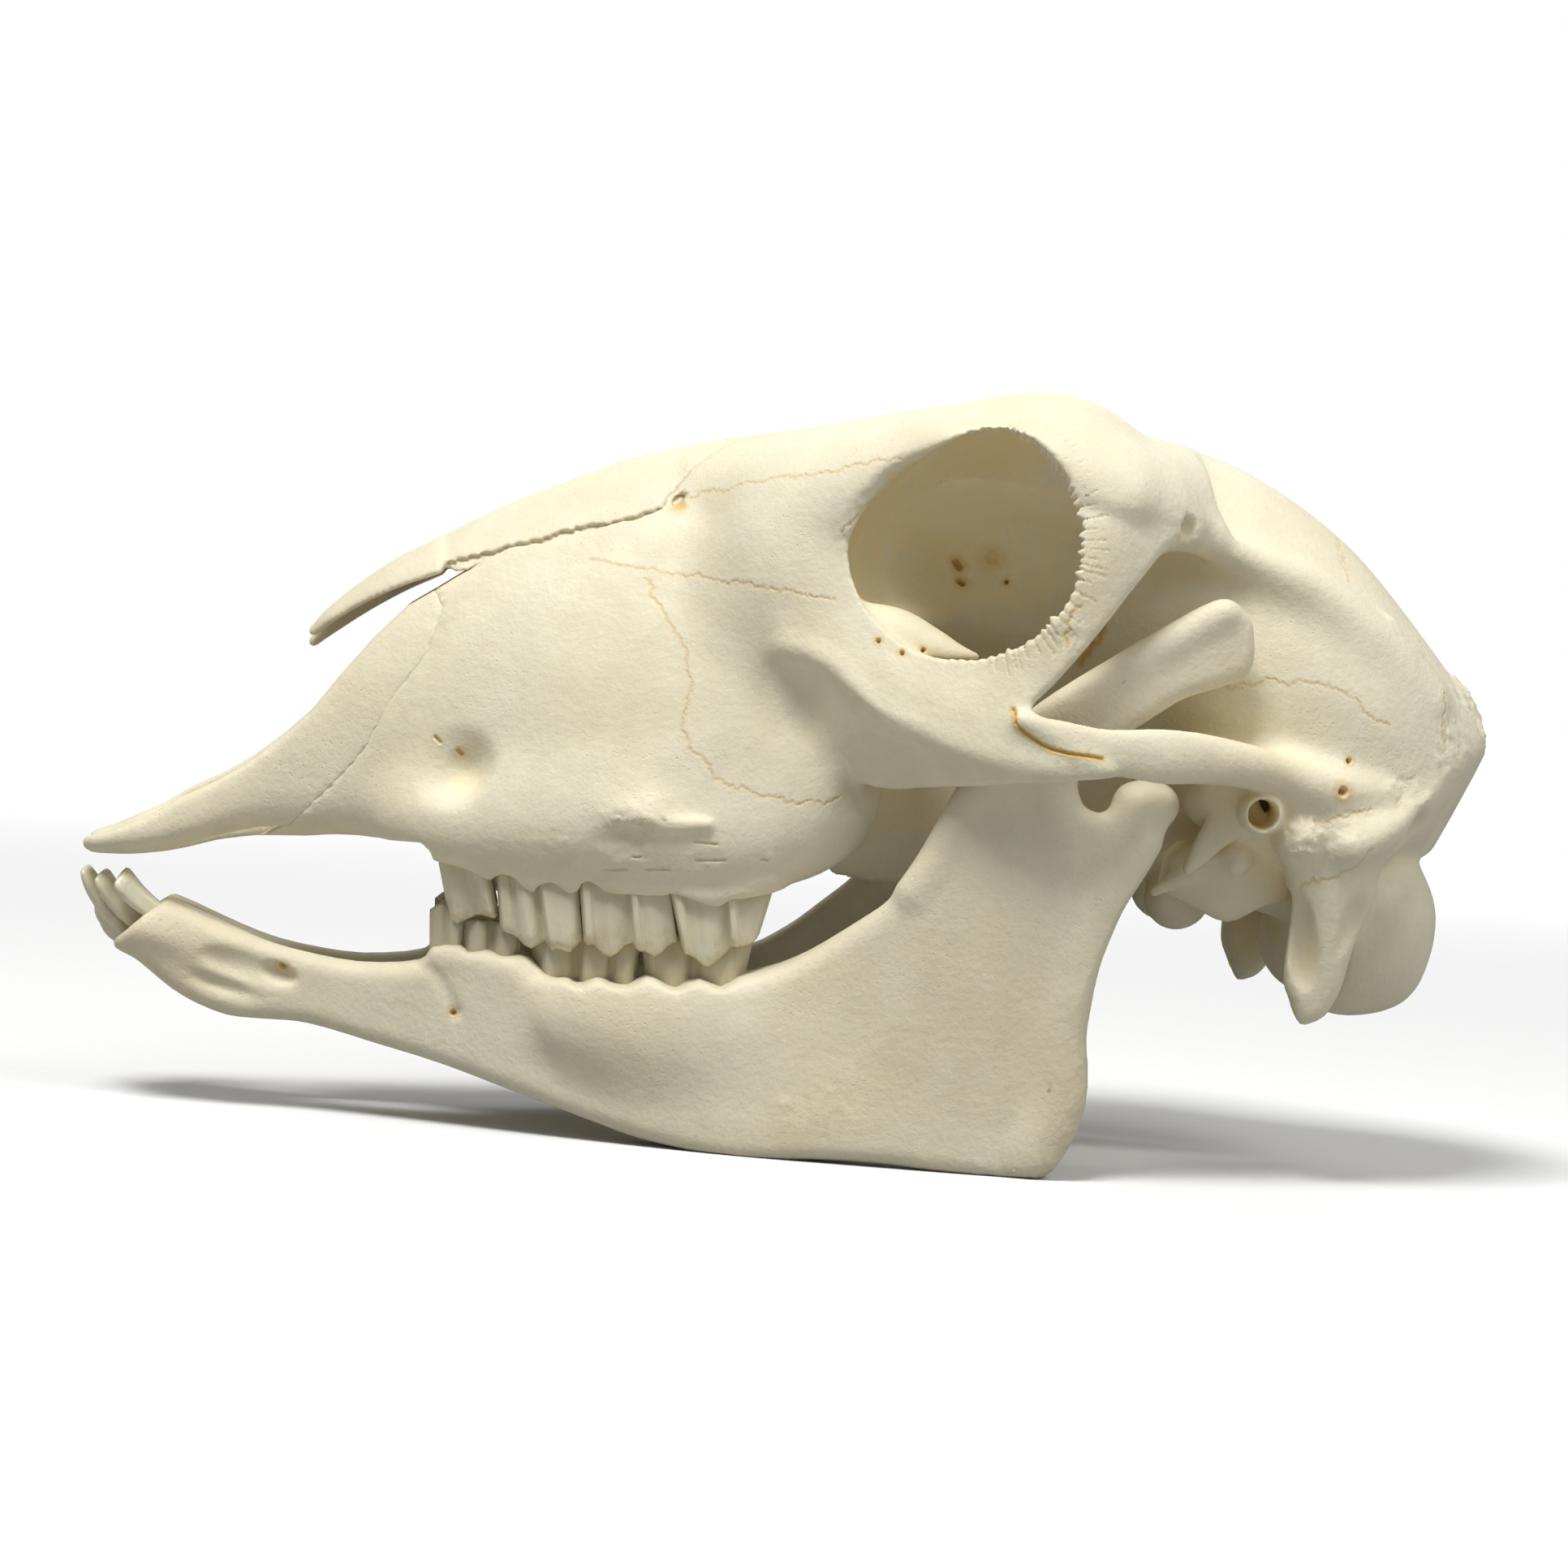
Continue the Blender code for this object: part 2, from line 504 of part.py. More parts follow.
def add_skull_base(bone):
    """The joint knobs of the neck, the floor of the braincase, ear bulbs and wings."""
    bone.add(egg((94.0, 14.5, -23.6), (9.8, 10.8, 12.8), (0, -14, 0)), 4)
    bone.add(egg((90.0, 13.5, -27.5), (8.4, 9.4, 9.4)), 3)
    # the upper facet of each knob ends below in a sharp edge
    bone.cut(egg((98.6, 31.0, -17.6), (9.6, 10.4, 10.6), (0, -12, 0)), 0.4)
    bone.add(strut([(56, 0, -11, 8, 5), (70, 0, -13.5, 9.5, 5), (84, 0, -17.5, 11, 5.5),
                    (91, 0, -20.5, 12, 5.5)], (0, 0, 1)), 4)
    bone.add(egg((64.0, 7.5, -18.4), (5.4, 3.8, 5.2)), 2.5)
    bone.cut(strut([(82, 0, -4, 7, 7), (90, 0, -8.5, FORAMEN_MAGNUM, 8.5), (98, 0, -12.5, FORAMEN_MAGNUM, 8.0),
                    (112, 0, -20, 10, 9)], (0, 0, 1)), 1.5)
    # ear bulb, folded along a line, the socket beside it and two pointed processes in front
    bone.add(plate(EAR_BULB, EAR_BULB_LINE, 1.6, -20, -10), 2)
    bone.add(egg((70.0, 27.8, -9.6), (2.8, 2.6, 3.4)), 1)
    bone.add(strut([(72, 31.0, -1.6, 4.2, 1.4), (67.4, 31.2, -4.6, 3.0, 1.2), (64.2, 30.8, -8.4, 1.9, 1.0),
                    (62.0, 30.2, -11.4, 0.9, 0.8)], (0, 1, 0)), 1.2)
    bone.add(strut([(67, 26.6, -9.0, 3.0, 1.6), (61.6, 26.8, -12.6, 1.7, 1.1), (57.2, 26.4, -15.4, 0.8, 0.8)],
                   (0, 1, 0)), 1.2)
    # wings behind the palate
    wing = [(8, 14.5, -6.0, 7.5, 1.7), (16, 12.5, -7.0, 8.4, 1.5), (26, 11.0, -7.5, 8.4, 1.4),
            (36, 10.5, -9.0, 7.0, 1.4), (46, 11.5, -10.0, 5.0, 1.6), (56, 13.5, -11, 3.5, 2.0)]
    bone.add(strut(wing, (0, 1, 0)), 3)
    bone.add(strut([(40, 10.5, -13, 2.2, 1.3), (46, 10.0, -19, 1.0, 1.0)], (0, 1, 0)), 1.5)


def add_face_forms(bone):
    """Ridges and hollows of the cheek, the palate's vault and the nerve's opening."""
    bone.cut(egg((-2.0, 40.5, 15.0), (8.0, 9.4, 6.4), (0, 35, 0)), 6)
    bone.add(egg((-24, 28.5, -1.5), (7, 4.4, 3.4), (0, -8, 0)), 4)
    bone.cut(egg((-49.5, 25.0, 6.5), (4.6, 4.6, 4.2)), 2)
    vault = [(-72, 0, -12.5, 9.5, 6.5), (-50, 0, -14, 12.0, 8.0), (-30, 0, -14.5, 15.0, 9.5),
             (-8, 0, -15, 15.5, 10.5), (6, 0, -15, 13.0, 11), (20, 0, -14, 9.4, 12),
             (38, 0, -15, 8.4, 10), (50, 0, -18, 8, 6)]
    bone.cut(strut(vault, (0, 0, 1)), 2)



# The nose: the hollow inside it, the nose bones that roof it and the bones at its tip

HOLLOW = [
    (-120, 2, -3, -4.8, 7.5, 2.0, 2.5),
    (-108, 2, -3, -4.8, 8.8, 2.0, 2.5),
    (-98, 5, -3, -5.2, 9.8, 2.0, 2.6),
    (-84, 15.5, 2, -4.4, 9.2, 2.0, 2.8),
    (-76, 23.8, 5, -4.2, 10.0, 2.0, 3.0),
    (-68, 30.2, 8, -4.0, 11.8, 2.0, 3.0),
    (-58, 36.6, 9, -3.6, 14.0, 1.9, 3.0),
    (-46, 42.6, 10, -3.4, 16.0, 1.8, 3.0),
    (-34, 47.2, 12, -2.0, 17.0, 1.8, 2.6),
    (-26, 47.0, 16, 4.0, 14.0, 1.9, 2.2),
    (-20, 42.0, 22, 12.0, 8.0, 2.0, 2.0),
]
NOSE_EDGE = [(-84, 20.0), (-77, 23.6), (-68.7, 30.4), (-60, 34.4), (-47.4, 38.2), (-35.3, 41.4),
             (-27.6, 43.0), (-20, 45.4), (-10, 47), (4, 47), (4, 70), (-84, 70)]
NOSE_BACK = [(-24, 22.0), (-20, 13.0), (-14.4, 9.0), (-9, 5.0), (-4.5, 1.8), (-2.5, 0.0), (6, -8)]
NOSE_OPENING = [(-130, -9), (-116, -8.2), (-109.8, -6.7), (-103.2, -4.0), (-97.9, -0.9), (-92.7, 1.4),
                (-87.4, 4.3), (-82.1, 8.2), (-76.9, 12.6), (-71.6, 19.0), (-66.4, 24.7),
                (-61.1, 29.7), (-56, 32.6), (-50.8, 35.8), (-47.4, 38.6), (-47, 70), (-130, 70)]
TIP_SUTURE = [(-46, 42), (-50.5, 36.2), (-55.0, 28.6), (-61.1, 19.2), (-69.0, 7.5), (-74.4, -1.7),
              (-81.0, -6.4), (-84, -14), (-130, -14), (-130, 42)]


def prism(corners, near=-60, wide=60):
    """A solid with one outline in the XZ plane, from side to side of the skull."""
    corners = np.array(corners, float)

    def distance(x, y, z):
        return outline_distance(corners, x, z).astype(np.float32) + 0 * y

    low, high = corners.min(axis=0), corners.max(axis=0)
    return (low[0], near, low[1]), (high[0], wide, high[1]), distance


def grown(form, by):
    low, high, distance = form
    return np.subtract(low, by), np.add(high, by), lambda x, y, z: distance(x, y, z) - by


def hollow_nose(bone):
    """Opens the nose from the front, and leaves a scroll on its wall and a ridge on its floor."""
    bone.cut(hull(HOLLOW), 2)
    bone.cut(prism(NOSE_OPENING), 1.2)
    bone.add(strut([(-63, 9.5, 7, 2.0, 3.0), (-52, 11.5, 9, 4.0, 4.2), (-36, 14, 11, 5.0, 5.0)],
                   (0, 1, 0)), 2)
    bone.add(strut([(-66, 0, -3.5, 3.0, 1.6), (-50, 0, -2.0, 4.0, 1.6), (-26, 0, 0.0, 6.0, 1.8)],
                   (0, 1, 0)), 1.5)


def nose_roof():
    """The room of the two nose bones: above their side edges and in front of their pointed back."""
    low, high, above = prism(NOSE_EDGE)
    back = fair(*zip(*NOSE_BACK))

    def distance(x, y, z):
        return np.maximum(above(x, y, z), np.abs(y) - back(x).astype(np.float32) + 0 * z)

    return low, high, distance


def nasal():
    """One of the two thin bones that roof the nose."""
    bone = Bone((-84, 0, 12), (8, 26, 64), FINE_GRID)
    add_shell(bone)
    outer = bone.values.copy()
    bone.values = np.maximum(outer, -(outer + NASAL_WALL))
    bone.keep(grown(nose_roof(), -GAP / 2)[2], 0.4)
    edge = fair([-79.5, -78, -74, -68, -60, -47, -30, 4], [0.3, 2.4, 4.6, 6.6, 8.8, 12.6, 16, 16])
    bone.keep(lambda x, y, z: y - edge(x).astype(np.float32) + 0 * z, 0.6)
    bone.keep(lambda x, y, z: GAP / 2 - y + 0 * (x + z))
    return bone


def premaxilla(skull_front):
    """One of the two bones at the tip of the nose, in front of the slanting suture."""
    bone = skull_front.copy()
    bone.keep(grown(prism(TIP_SUTURE), -GAP / 2)[2], 0.5)
    slit = [(-99, 6.4, -6, 1.2, 5), (-92, 6.4, -6, 2.6, 5), (-84, 6.2, -6, 2.9, 5), (-76, 6.0, -6, 2.9, 5)]
    bone.cut(strut(slit, (0, 0, 1)), 1)
    bone.cut(strut([(-120, 0, -8, 4.6, 8), (-110, 0, -8, 2.2, 8), (-100, 0, -8, 0.4, 8)], (0, 0, 1)), 2)
    bone.keep(lambda x, y, z: GAP / 2 - y + 0 * (x + z))
    return bone


# The lower jaw

JAW = [
    (-100.6, -17.4), (-105.0, -19.6), (-108.6, -22.6), (-108.6, -24.6), (-106.4, -26.2),
    (-103.0, -29.2), (-97.6, -33.4), (-90.8, -36.4), (-84.0, -37.2), (-77.4, -37.8),
    (-66.9, -40.5), (-56.4, -43.4), (-46.1, -46.8), (-35.8, -50.3), (-24.3, -54.2), (-14, -56.2),
    (-7, -56.8), (2.3, -56.6), (12, -57.0), (22, -58.2), (33, -59.3), (38.8, -58.2), (42.4, -53.4),
    (44, -48.3), (44.5, -43.2), (44.0, -37), (44.4, -31.6), (45.3, -25.3), (46.9, -21.4),
    (48.8, -17.0), (50.2, -14.4), (53.0, -10.4), (55.4, -5.6), (58.2, -2.6), (58.8, -0.4),
    (57.6, 1.6), (54.6, 2.8), (51.0, 2.8), (49.2, 1.6), (48.2, -0.6), (46.6, -1.4), (44.6, -0.6),
    (43.6, 1.2), (43.6, 4.0), (46.6, 7.8), (52.4, 11.3), (59.2, 15.4), (64.2, 17.0), (69.8, 18.8),
    (71.4, 21.4), (71.6, 25.0), (70.8, 28.6), (67.4, 30.9), (63.2, 30.3), (54.3, 25.2), (46.0, 20.0),
    (37.6, 14.9), (31, 9), (25.6, 2.6), (20.8, -7.6), (14.8, -14.9), (9, -19.5), (2.3, -24.0), (-5.2, -27.6),
    (-10.5, -29.6), (-19.1, -30.2), (-28, -30.2), (-35.7, -29.8), (-40.2, -28.9), (-43.6, -26.4),
    (-48.5, -25.4), (-55.3, -24.4),
    (-59.5, -27.0), (-69.5, -27.6), (-79.6, -25.9), (-89.1, -22.8), (-96, -19.6),
]
JAW_LINE = {
    # x: distance of the plate from the middle plane low down and high up, half thickness likewise
    -110: (4.0, 4.0, 2.6, 2.8),
    -103: (5.0, 5.4, 4.2, 4.6),
    -94: (5.2, 5.8, 4.4, 4.8),
    -84: (6.0, 6.6, 3.8, 3.4),
    -70: (9.4, 9.8, 4.2, 3.4),
    -58: (13.2, 13.6, 4.6, 4.0),
    -46: (17.2, 17.6, 5.0, 4.8),
    -30: (21.8, 20.8, 5.4, 5.4),
    -12: (27.6, 23.6, 5.0, 5.8),
    0: (31.0, 27.6, 4.4, 5.0),
    10: (33.4, 32.6, 3.6, 2.8),
    22: (35.6, 37.4, 2.9, 2.2),
    34: (36.8, 38.8, 2.8, 2.1),
    46: (37.4, 39.4, 2.8, 2.2),
    60: (37.6, 37.6, 2.4, 1.9),
    73: (37.6, 35.4, 2.4, 1.8),
}


def rolled(y, z):
    """Where a point of the jaw lies once the skull and jaws have been rolled level with the jaws."""
    roll = math.radians(ROLL_DEG)
    above = z - ROLL_AXIS_Z
    return (y * math.cos(roll) + above * math.sin(roll),
            ROLL_AXIS_Z - y * math.sin(roll) + above * math.cos(roll))


def mandible():
    """One lower jaw bone."""
    bone = Bone((-116, 0, -64), (78, 52, 36), GRID)
    bone.add(plate(JAW, JAW_LINE, 3.2), 0)
    # thick hind border and angle, the joint's bar, and the ridges up the coronoid process
    bone.add(strut([(36.5, 37.0, -54.5, 2.8, 2.8), (40.6, 38.2, -47, 2.8, 2.8), (41.4, 38.8, -34, 2.6, 3),
                    (46.0, 40.2, -18, 2.6, 2.6), (53.0, 40.6, -6, 2.8, 2.8)], (0, 1, 0)), 4)
    bone.add(strut([(54.6, 31.5, -0.4, 3.6, 2.0), (54.4, 37.5, -0.2, 4.0, 2.4), (54.0, 43.4, -1.0, 3.4, 2.2)],
                   (0, 0, 1)), 3)
    bone.add(strut([(18, 36.4, -14, 2.2, 2.0), (29, 38.0, 4, 2.0, 1.9), (44, 38.8, 17.0, 1.8, 1.9),
                    (66, 37.0, 29.0, 1.3, 1.7)], (0, 1, 0)), 3)
    # the shovel that holds the front teeth
    bone.add(strut([(-86, 4.6, -30.5, 4.0, 3.6), (-95, 5.0, -25.5, 5.2, 3.8),
                    (-102, 5.6, -22.6, 5.6, 3.2), (-106.5, 5.0, -23.4, 4.4, 2.2)], (0.5, 0, 1)), 3)
    # a wall for the hind tooth, swelling at the side of the jaw
    bone.add(egg((-16, 24.8, -37), (24, 6.6, 10), (0, 8, 0)), 6)
    # the cut rim of the front sockets, the middle plane and the flats that it stands on
    bone.cut(beyond((-109.0, -24.4), (-100.2, -17.0)), 1)
    bone.keep(lambda x, y, z: GAP / 2 - rolled(y, z)[0] + 0 * x)
    tilt = math.radians(REST_TILT_DEG)
    bone.keep(lambda x, y, z: (FLOOR_Z - x * math.sin(tilt) - rolled(y, z)[1] * math.cos(tilt)))
    return bone


# Teeth

UPPER_TEETH = [
    # distance of the outer wall from the middle plane, width and height of the gum, then each lobe:
    # front at the gum, shift of its tip, height of its front corner and cusp, place of the cusp,
    # and last the back of the tooth at the gum, its shift and its height
    (21.2, 5.6, -9.8, [(-56.4, 0.3, -17.0, -20.0, 0.36)], (-47.0, 0.0, -18.6)),
    (25.0, 8.0, -13.2, [(-47.0, 0.6, -20.3, -23.9, 0.80), (-40.6, 1.6, -23.4, -24.6, 0.46)],
     (-34.0, 0.5, -22.6)),
    (27.5, 10.2, -14.4, [(-33.9, 0.6, -22.9, -25.2, 0.46), (-26.2, 1.7, -23.5, -24.9, 0.32)],
     (-19.4, 0.8, -22.6)),
    (29.0, 11.4, -15.4, [(-19.6, 1.9, -24.2, -26.6, 0.46), (-10.7, 0.8, -23.3, -23.8, 0.36)],
     (-3.0, -1.6, -20.4)),
]
LOWER_TEETH = [
    (18.2, 4.0, -25.0, [(-57.4, 0.0, -18.2, -17.6, 0.5)], (-52.4, 0.0, -18.2)),
    (20.4, 5.0, -26.0, [(-52.2, 0.0, -19.6, -19.0, 0.6), (-47.8, 0.0, -19.8, -19.4, 0.5)],
     (-42.6, 0.0, -21.2)),
    (23.2, 6.4, -30.0, [(-42.0, -0.2, -22.4, -22.4, 0.5), (-35.6, 0.2, -23.8, -23.0, 0.5),
                        (-30.2, 0.2, -23.8, -23.2, 0.5)], (-24.6, 0.3, -23.6)),
    (26.0, 6.8, -30.2, [(-23.6, 0.0, -24.4, -24.0, 0.5), (-15.7, 0.2, -24.2, -23.8, 0.5)],
     (-6.4, 0.4, -23.2)),
]
FRONT_TEETH = [
    # neck and tip, half width of the crown at its widest
    ((-108.0, 2.4, -24.0), (-114.0, 2.6, -12.7), 1.9),
    ((-105.8, 5.0, -22.0), (-111.2, 6.4, -13.6), 1.8),
    ((-102.6, 7.6, -19.4), (-107.8, 9.6, -13.9), 1.7),
]
FAR_FRONT_TEETH = [
    ((-108.2, 2.2, -24.4), (-113.8, 2.6, -14.0), 1.9),
    ((-106.2, 4.9, -22.6), (-112.6, 6.8, -17.6), 1.8),
]
ROOT = 5.0


def loft(mesh, rings, hollow=0.0):
    """A closed skin over rings of points, with a point set at each end, the last of them raised."""
    rings = [[mesh.verts.new(Vector(p)) for p in ring] for ring in rings]
    for low, high in zip(rings, rings[1:]):
        for a, b, c, d in zip(low, low[1:] + low[:1], high[1:] + high[:1], high):
            mesh.faces.new((a, b, c, d))
    for ring, order in ((rings[0], -1), (rings[-1], 1)):
        centre = mesh.verts.new(sum((v.co for v in ring), Vector()) / len(ring))
        centre.co.z += hollow if order > 0 else 0
        for a, b in zip(ring, ring[1:] + ring[:1]):
            mesh.faces.new((a, b, centre)[::order])


def wall(lobes, back, upper):
    """Stations along a tooth's outer wall: place at the gum, shift and height of the tip, relief.
    An upper tooth has a rib at the front of each lobe, a lower one bulges between its grooves."""
    ends = lobes + [(back[0], back[1], back[2], back[2], 0.5)]
    found = []
    for lobe, after in zip(ends, ends[1:]):
        for s in (0, 0.07, 0.18, lobe[4], 0.8) if upper else (0, 0.14, 0.5, 0.86):
            gum = lobe[0] + (after[0] - lobe[0]) * s
            shift = lobe[1] + (after[1] - lobe[1]) * s
            if s < lobe[4]:
                tip = lobe[2] + (lobe[3] - lobe[2]) * s / lobe[4]
            else:
                tip = lobe[3] + (after[2] - lobe[3]) * (s - lobe[4]) / (1 - lobe[4])
            if upper:
                relief = 0.9 * math.exp(-(s / 0.11) ** 2) + 0.4 * math.exp(-((s - lobe[4]) / 0.2) ** 2)
            else:
                relief = 1.1 * math.sin(math.pi * (0.06 + 0.88 * s)) ** 0.7 - 0.9
            found.append((gum, shift, tip, relief))
    found.append((back[0], back[1], back[2], -0.3 if upper else -0.9))
    return found


def cheek_tooth(mesh, row, upper):
    """One cheek tooth: a ribbed outer wall with pointed lobes and a lower, rounded inner wall."""
    outer, width, gum, lobes, back = row
    stations = wall(lobes, back, upper)
    inside = [stations[k] for k in range(len(stations) - 1, -1, -2)]
    way = -1 if upper else 1
    rings = []
    for share in (-0.6, 0, 0.4, 0.75, 1.0):
        ring = []
        for inner in (False, True):
            for x, shift, tip, relief in inside if inner else stations:
                at = min(max(share, 0), 1)
                end = tip - way * 0.42 * width if inner else tip
                depth = outer - width + relief if inner else outer + relief - 0.5 * at * at
                z = gum + (end - gum) * share if share > 0 else gum + way * ROOT * share / 0.6
                narrow = 1 - 0.07 * (1 - at) if not upper else 1
                middle = (stations[0][0] + stations[-1][0]) / 2
                ring.append((middle + (x - middle) * narrow + shift * at, depth, z))
        rings.append(ring if upper else ring[::-1])
    loft(mesh, rings, -way * 1.6)


def front_tooth(mesh, neck, tip, half):
    """One of the front teeth: a narrow root and a flat crown that widens to its edge."""
    neck, tip = Vector(neck), Vector(tip)
    along = (tip - neck).normalized()
    side = Vector((-0.25, 1, 0)).normalized()
    side = (side - along * side.dot(along)).normalized()
    thick = along.cross(side)
    rings = []
    for share, wide, deep in ((-0.3, 0.6, 1.2), (0.0, 0.7, 1.4), (0.45, 0.8, 1.4),
                              (0.85, 1.0, 1.2), (1.0, 0.85, 0.7)):
        centre = neck + (tip - neck) * share
        rings.append([centre + side * math.cos(t) * half * wide + thick * math.sin(t) * deep
                      for t in (2 * math.pi * k / 8 for k in range(8))])
    loft(mesh, rings)


def upper_teeth(mesh):
    for row in UPPER_TEETH:
        cheek_tooth(mesh, row, True)


def lower_teeth(mesh, front_teeth):
    for row in LOWER_TEETH:
        cheek_tooth(mesh, row, False)
    for neck, tip, half in front_teeth:
        front_tooth(mesh, neck, tip, half)


# Meshes

def skin(bone, mirrored):
    """Vertices and faces of a bone's surface. A mirrored bone is made whole, both sides at once."""
    values, low = bone.values, np.array(bone.low, float)
    if mirrored:
        values = np.concatenate([values[:, :0:-1], values], axis=1)
        low[1] = -(values.shape[1] - 1) / 2 * bone.step
    # two layers of air all round close the surface
    values = np.pad(values, 2, constant_values=FAR)
    values = np.ascontiguousarray(np.clip(values, -4 * bone.step, 4 * bone.step))
    grid = openvdb.FloatGrid(4 * bone.step)
    grid.copyFromArray(values)
    points, triangles, quads = grid.convertToPolygons(isovalue=0.0, adaptivity=0.0)
    points = (np.asarray(points) - 2) * bone.step + low
    return points, [tuple(map(int, f)) for f in triangles] + [tuple(map(int, f)) for f in quads]


def biggest_body(mesh):
    """Removes every loose crumb and keeps the largest closed surface."""
    seen, bodies = set(), []
    for start in mesh.verts:
        if start in seen:
            continue
        body, stack = [], [start]
        seen.add(start)
        while stack:
            vert = stack.pop()
            body.append(vert)
            for edge in vert.link_edges:
                other = edge.other_vert(vert)
                if other not in seen:
                    seen.add(other)
                    stack.append(other)
        bodies.append(body)
    bodies.sort(key=len)
    for body in bodies[:-1]:
        bmesh.ops.delete(mesh, geom=body, context="VERTS")


def material(name, colour, roughness):
    made = bpy.data.materials.new(name)
    made.use_nodes = True
    shader = made.node_tree.nodes["Principled BSDF"]
    shader.inputs["Base Color"].default_value = (*colour, 1)
    shader.inputs["Roughness"].default_value = roughness
    return made


def standing():
    """The turns and lift that stand the jaws level, with the origin under the middle of the skull.
    The upper skull leans a little to its left on the jaws, and the two jaws stand upright."""
    axis = Matrix.Translation((0, 0, ROLL_AXIS_Z))
    roll = axis @ Matrix.Rotation(math.radians(ROLL_DEG), 4, "X") @ axis.inverted()
    turn = Matrix.Rotation(-math.radians(REST_TILT_DEG), 4, "Y")
    return Matrix.Scale(METRES, 4) @ Matrix.Translation(SET_DOWN) @ turn @ roll


def mirror(data, plane=0.0):
    """Turns a mesh into its mirror image about an upright plane through Y = plane."""
    data.transform(Matrix.Translation((0, 2 * plane, 0)) @ Matrix.Scale(-1, 4, (0, 1, 0)))
    data.flip_normals()


def bone_mesh(name, bone, triangles, mirrored):
    """A mesh of a bone's surface, thinned to about that number of triangles."""
    points, faces = skin(bone, mirrored)
    data = bpy.data.meshes.new(name)
    data.from_pydata(points.tolist(), [], faces)
    mesh = bmesh.new()
    mesh.from_mesh(data)
    biggest_body(mesh)
    bmesh.ops.recalc_face_normals(mesh, faces=mesh.faces)
    mesh.to_mesh(data)
    mesh.free()
    rough = bpy.data.objects.new(name, data)
    bpy.context.collection.objects.link(rough)
    thin = rough.modifiers.new("thin", "DECIMATE")
    thin.ratio = min(1.0, triangles / (2.0 * len(data.polygons)))
    thin.use_collapse_triangulate = True
    found = bpy.data.meshes.new_from_object(rough.evaluated_get(bpy.context.evaluated_depsgraph_get()))
    bpy.data.objects.remove(rough)
    return found


def tooth_mesh(grow, both_sides):
    """A mesh of the teeth of one side, or of both."""
    mesh = bmesh.new()
    grow(mesh)
    if both_sides:
        twin = bmesh.ops.duplicate(mesh, geom=mesh.faces[:])
        verts = [v for v in twin["geom"] if isinstance(v, bmesh.types.BMVert)]
        bmesh.ops.scale(mesh, vec=(1, -1, 1), verts=verts)
        bmesh.ops.reverse_faces(mesh, faces=[f for f in twin["geom"] if isinstance(f, bmesh.types.BMFace)])
    bmesh.ops.recalc_face_normals(mesh, faces=mesh.faces)
    data = bpy.data.meshes.new("teeth")
    mesh.to_mesh(data)
    mesh.free()
    return data


def node(name, data, skins, teeth=None, left=False, twin=False):
    """A finished bone: its mesh joined with its teeth, smoothly shaded and stood in place. A left
    bone is drawn mirrored, and a twin is the mirror image of the left bone where that one stands."""
    data = data.copy()
    data.name = name
    data.materials.clear()
    for made in skins:
        data.materials.append(made)
    obj = bpy.data.objects.new(name, data)
    bpy.context.collection.objects.link(obj)
    if teeth is not None:
        teeth = teeth.copy()
        for made in skins:
            teeth.materials.append(made)
        for face in teeth.polygons:
            face.material_index = 1
        cutter = bpy.data.objects.new(name + "_teeth", teeth)
        bpy.context.collection.objects.link(cutter)
        union = obj.modifiers.new("teeth", "BOOLEAN")
        union.object = cutter
        union.operation = "UNION"
        # the exact solver loses the skull, whose sockets and hollows it takes for its outside
        union.solver = "MANIFOLD" if name == "cranium" else "EXACT"
        whole = bpy.data.meshes.new_from_object(obj.evaluated_get(bpy.context.evaluated_depsgraph_get()))
        bpy.data.objects.remove(cutter)
        obj.modifiers.clear()
        obj.data = whole
        whole.name = name
    if left or twin:
        mirror(obj.data)
    obj.data.transform(standing())
    if twin:
        mirror(obj.data, METRES * SET_DOWN[1])
    for face in obj.data.polygons:
        face.use_smooth = True
    return obj


def drop_tip(data):
    """The far nose bone has sunk a little at its loose tip, as in an old dry skull."""
    for vert in data.vertices:
        free = max(-48 - vert.co.x, 0) / 30
        vert.co.z -= NASAL_DROP * free ** 1.4


def build():
    for obj in list(bpy.data.objects):
        bpy.data.objects.remove(obj)
    bone_skin = material("bone", (0.66, 0.60, 0.47), 0.62)
    tooth_skin = material("tooth", (0.62, 0.56, 0.42), 0.35)
    skins = [bone_skin, tooth_skin]
    whole = cranium()
    hollow_nose(whole)
    tip = premaxilla(whole)
    whole.cut(grown(prism(TIP_SUTURE), GAP / 2), 0.5)
    whole.cut(grown(nose_roof(), GAP / 2), 0.4)
    node("cranium", bone_mesh("cranium", whole, 7600, True), skins, tooth_mesh(upper_teeth, True))
    tip_data = bone_mesh("premaxilla", tip, 520, False)
    node("premaxilla_left", tip_data, [bone_skin], left=True)
    node("premaxilla_right", tip_data, [bone_skin])
    nasal_data = bone_mesh("nasal", nasal(), 460, False)
    node("nasal_left", nasal_data, [bone_skin], left=True)
    drop_tip(nasal_data)
    node("nasal_right", nasal_data, [bone_skin])
    jaw_data = bone_mesh("mandible", mandible(), 2000, False)
    jaw_teeth = tooth_mesh(lambda mesh: lower_teeth(mesh, FRONT_TEETH), False)
    far_teeth = tooth_mesh(lambda mesh: lower_teeth(mesh, FAR_FRONT_TEETH), False)
    node("mandible_left", jaw_data, skins, jaw_teeth, left=True)
    node("mandible_right", jaw_data, skins, far_teeth, twin=True)


build()
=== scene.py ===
# A sheep's skull with its lower jaw, dressed for pictures.
# Forms are drawn in millimetres in the frame in which the skull was measured, nose towards -X and
# Y zero on the middle plane, and at the end each bone is stood in place, in metres.

import math

import bmesh
import bpy
import numpy as np
import openvdb
from mathutils import Matrix, Vector, noise
from mathutils.bvhtree import BVHTree
from mathutils.kdtree import KDTree


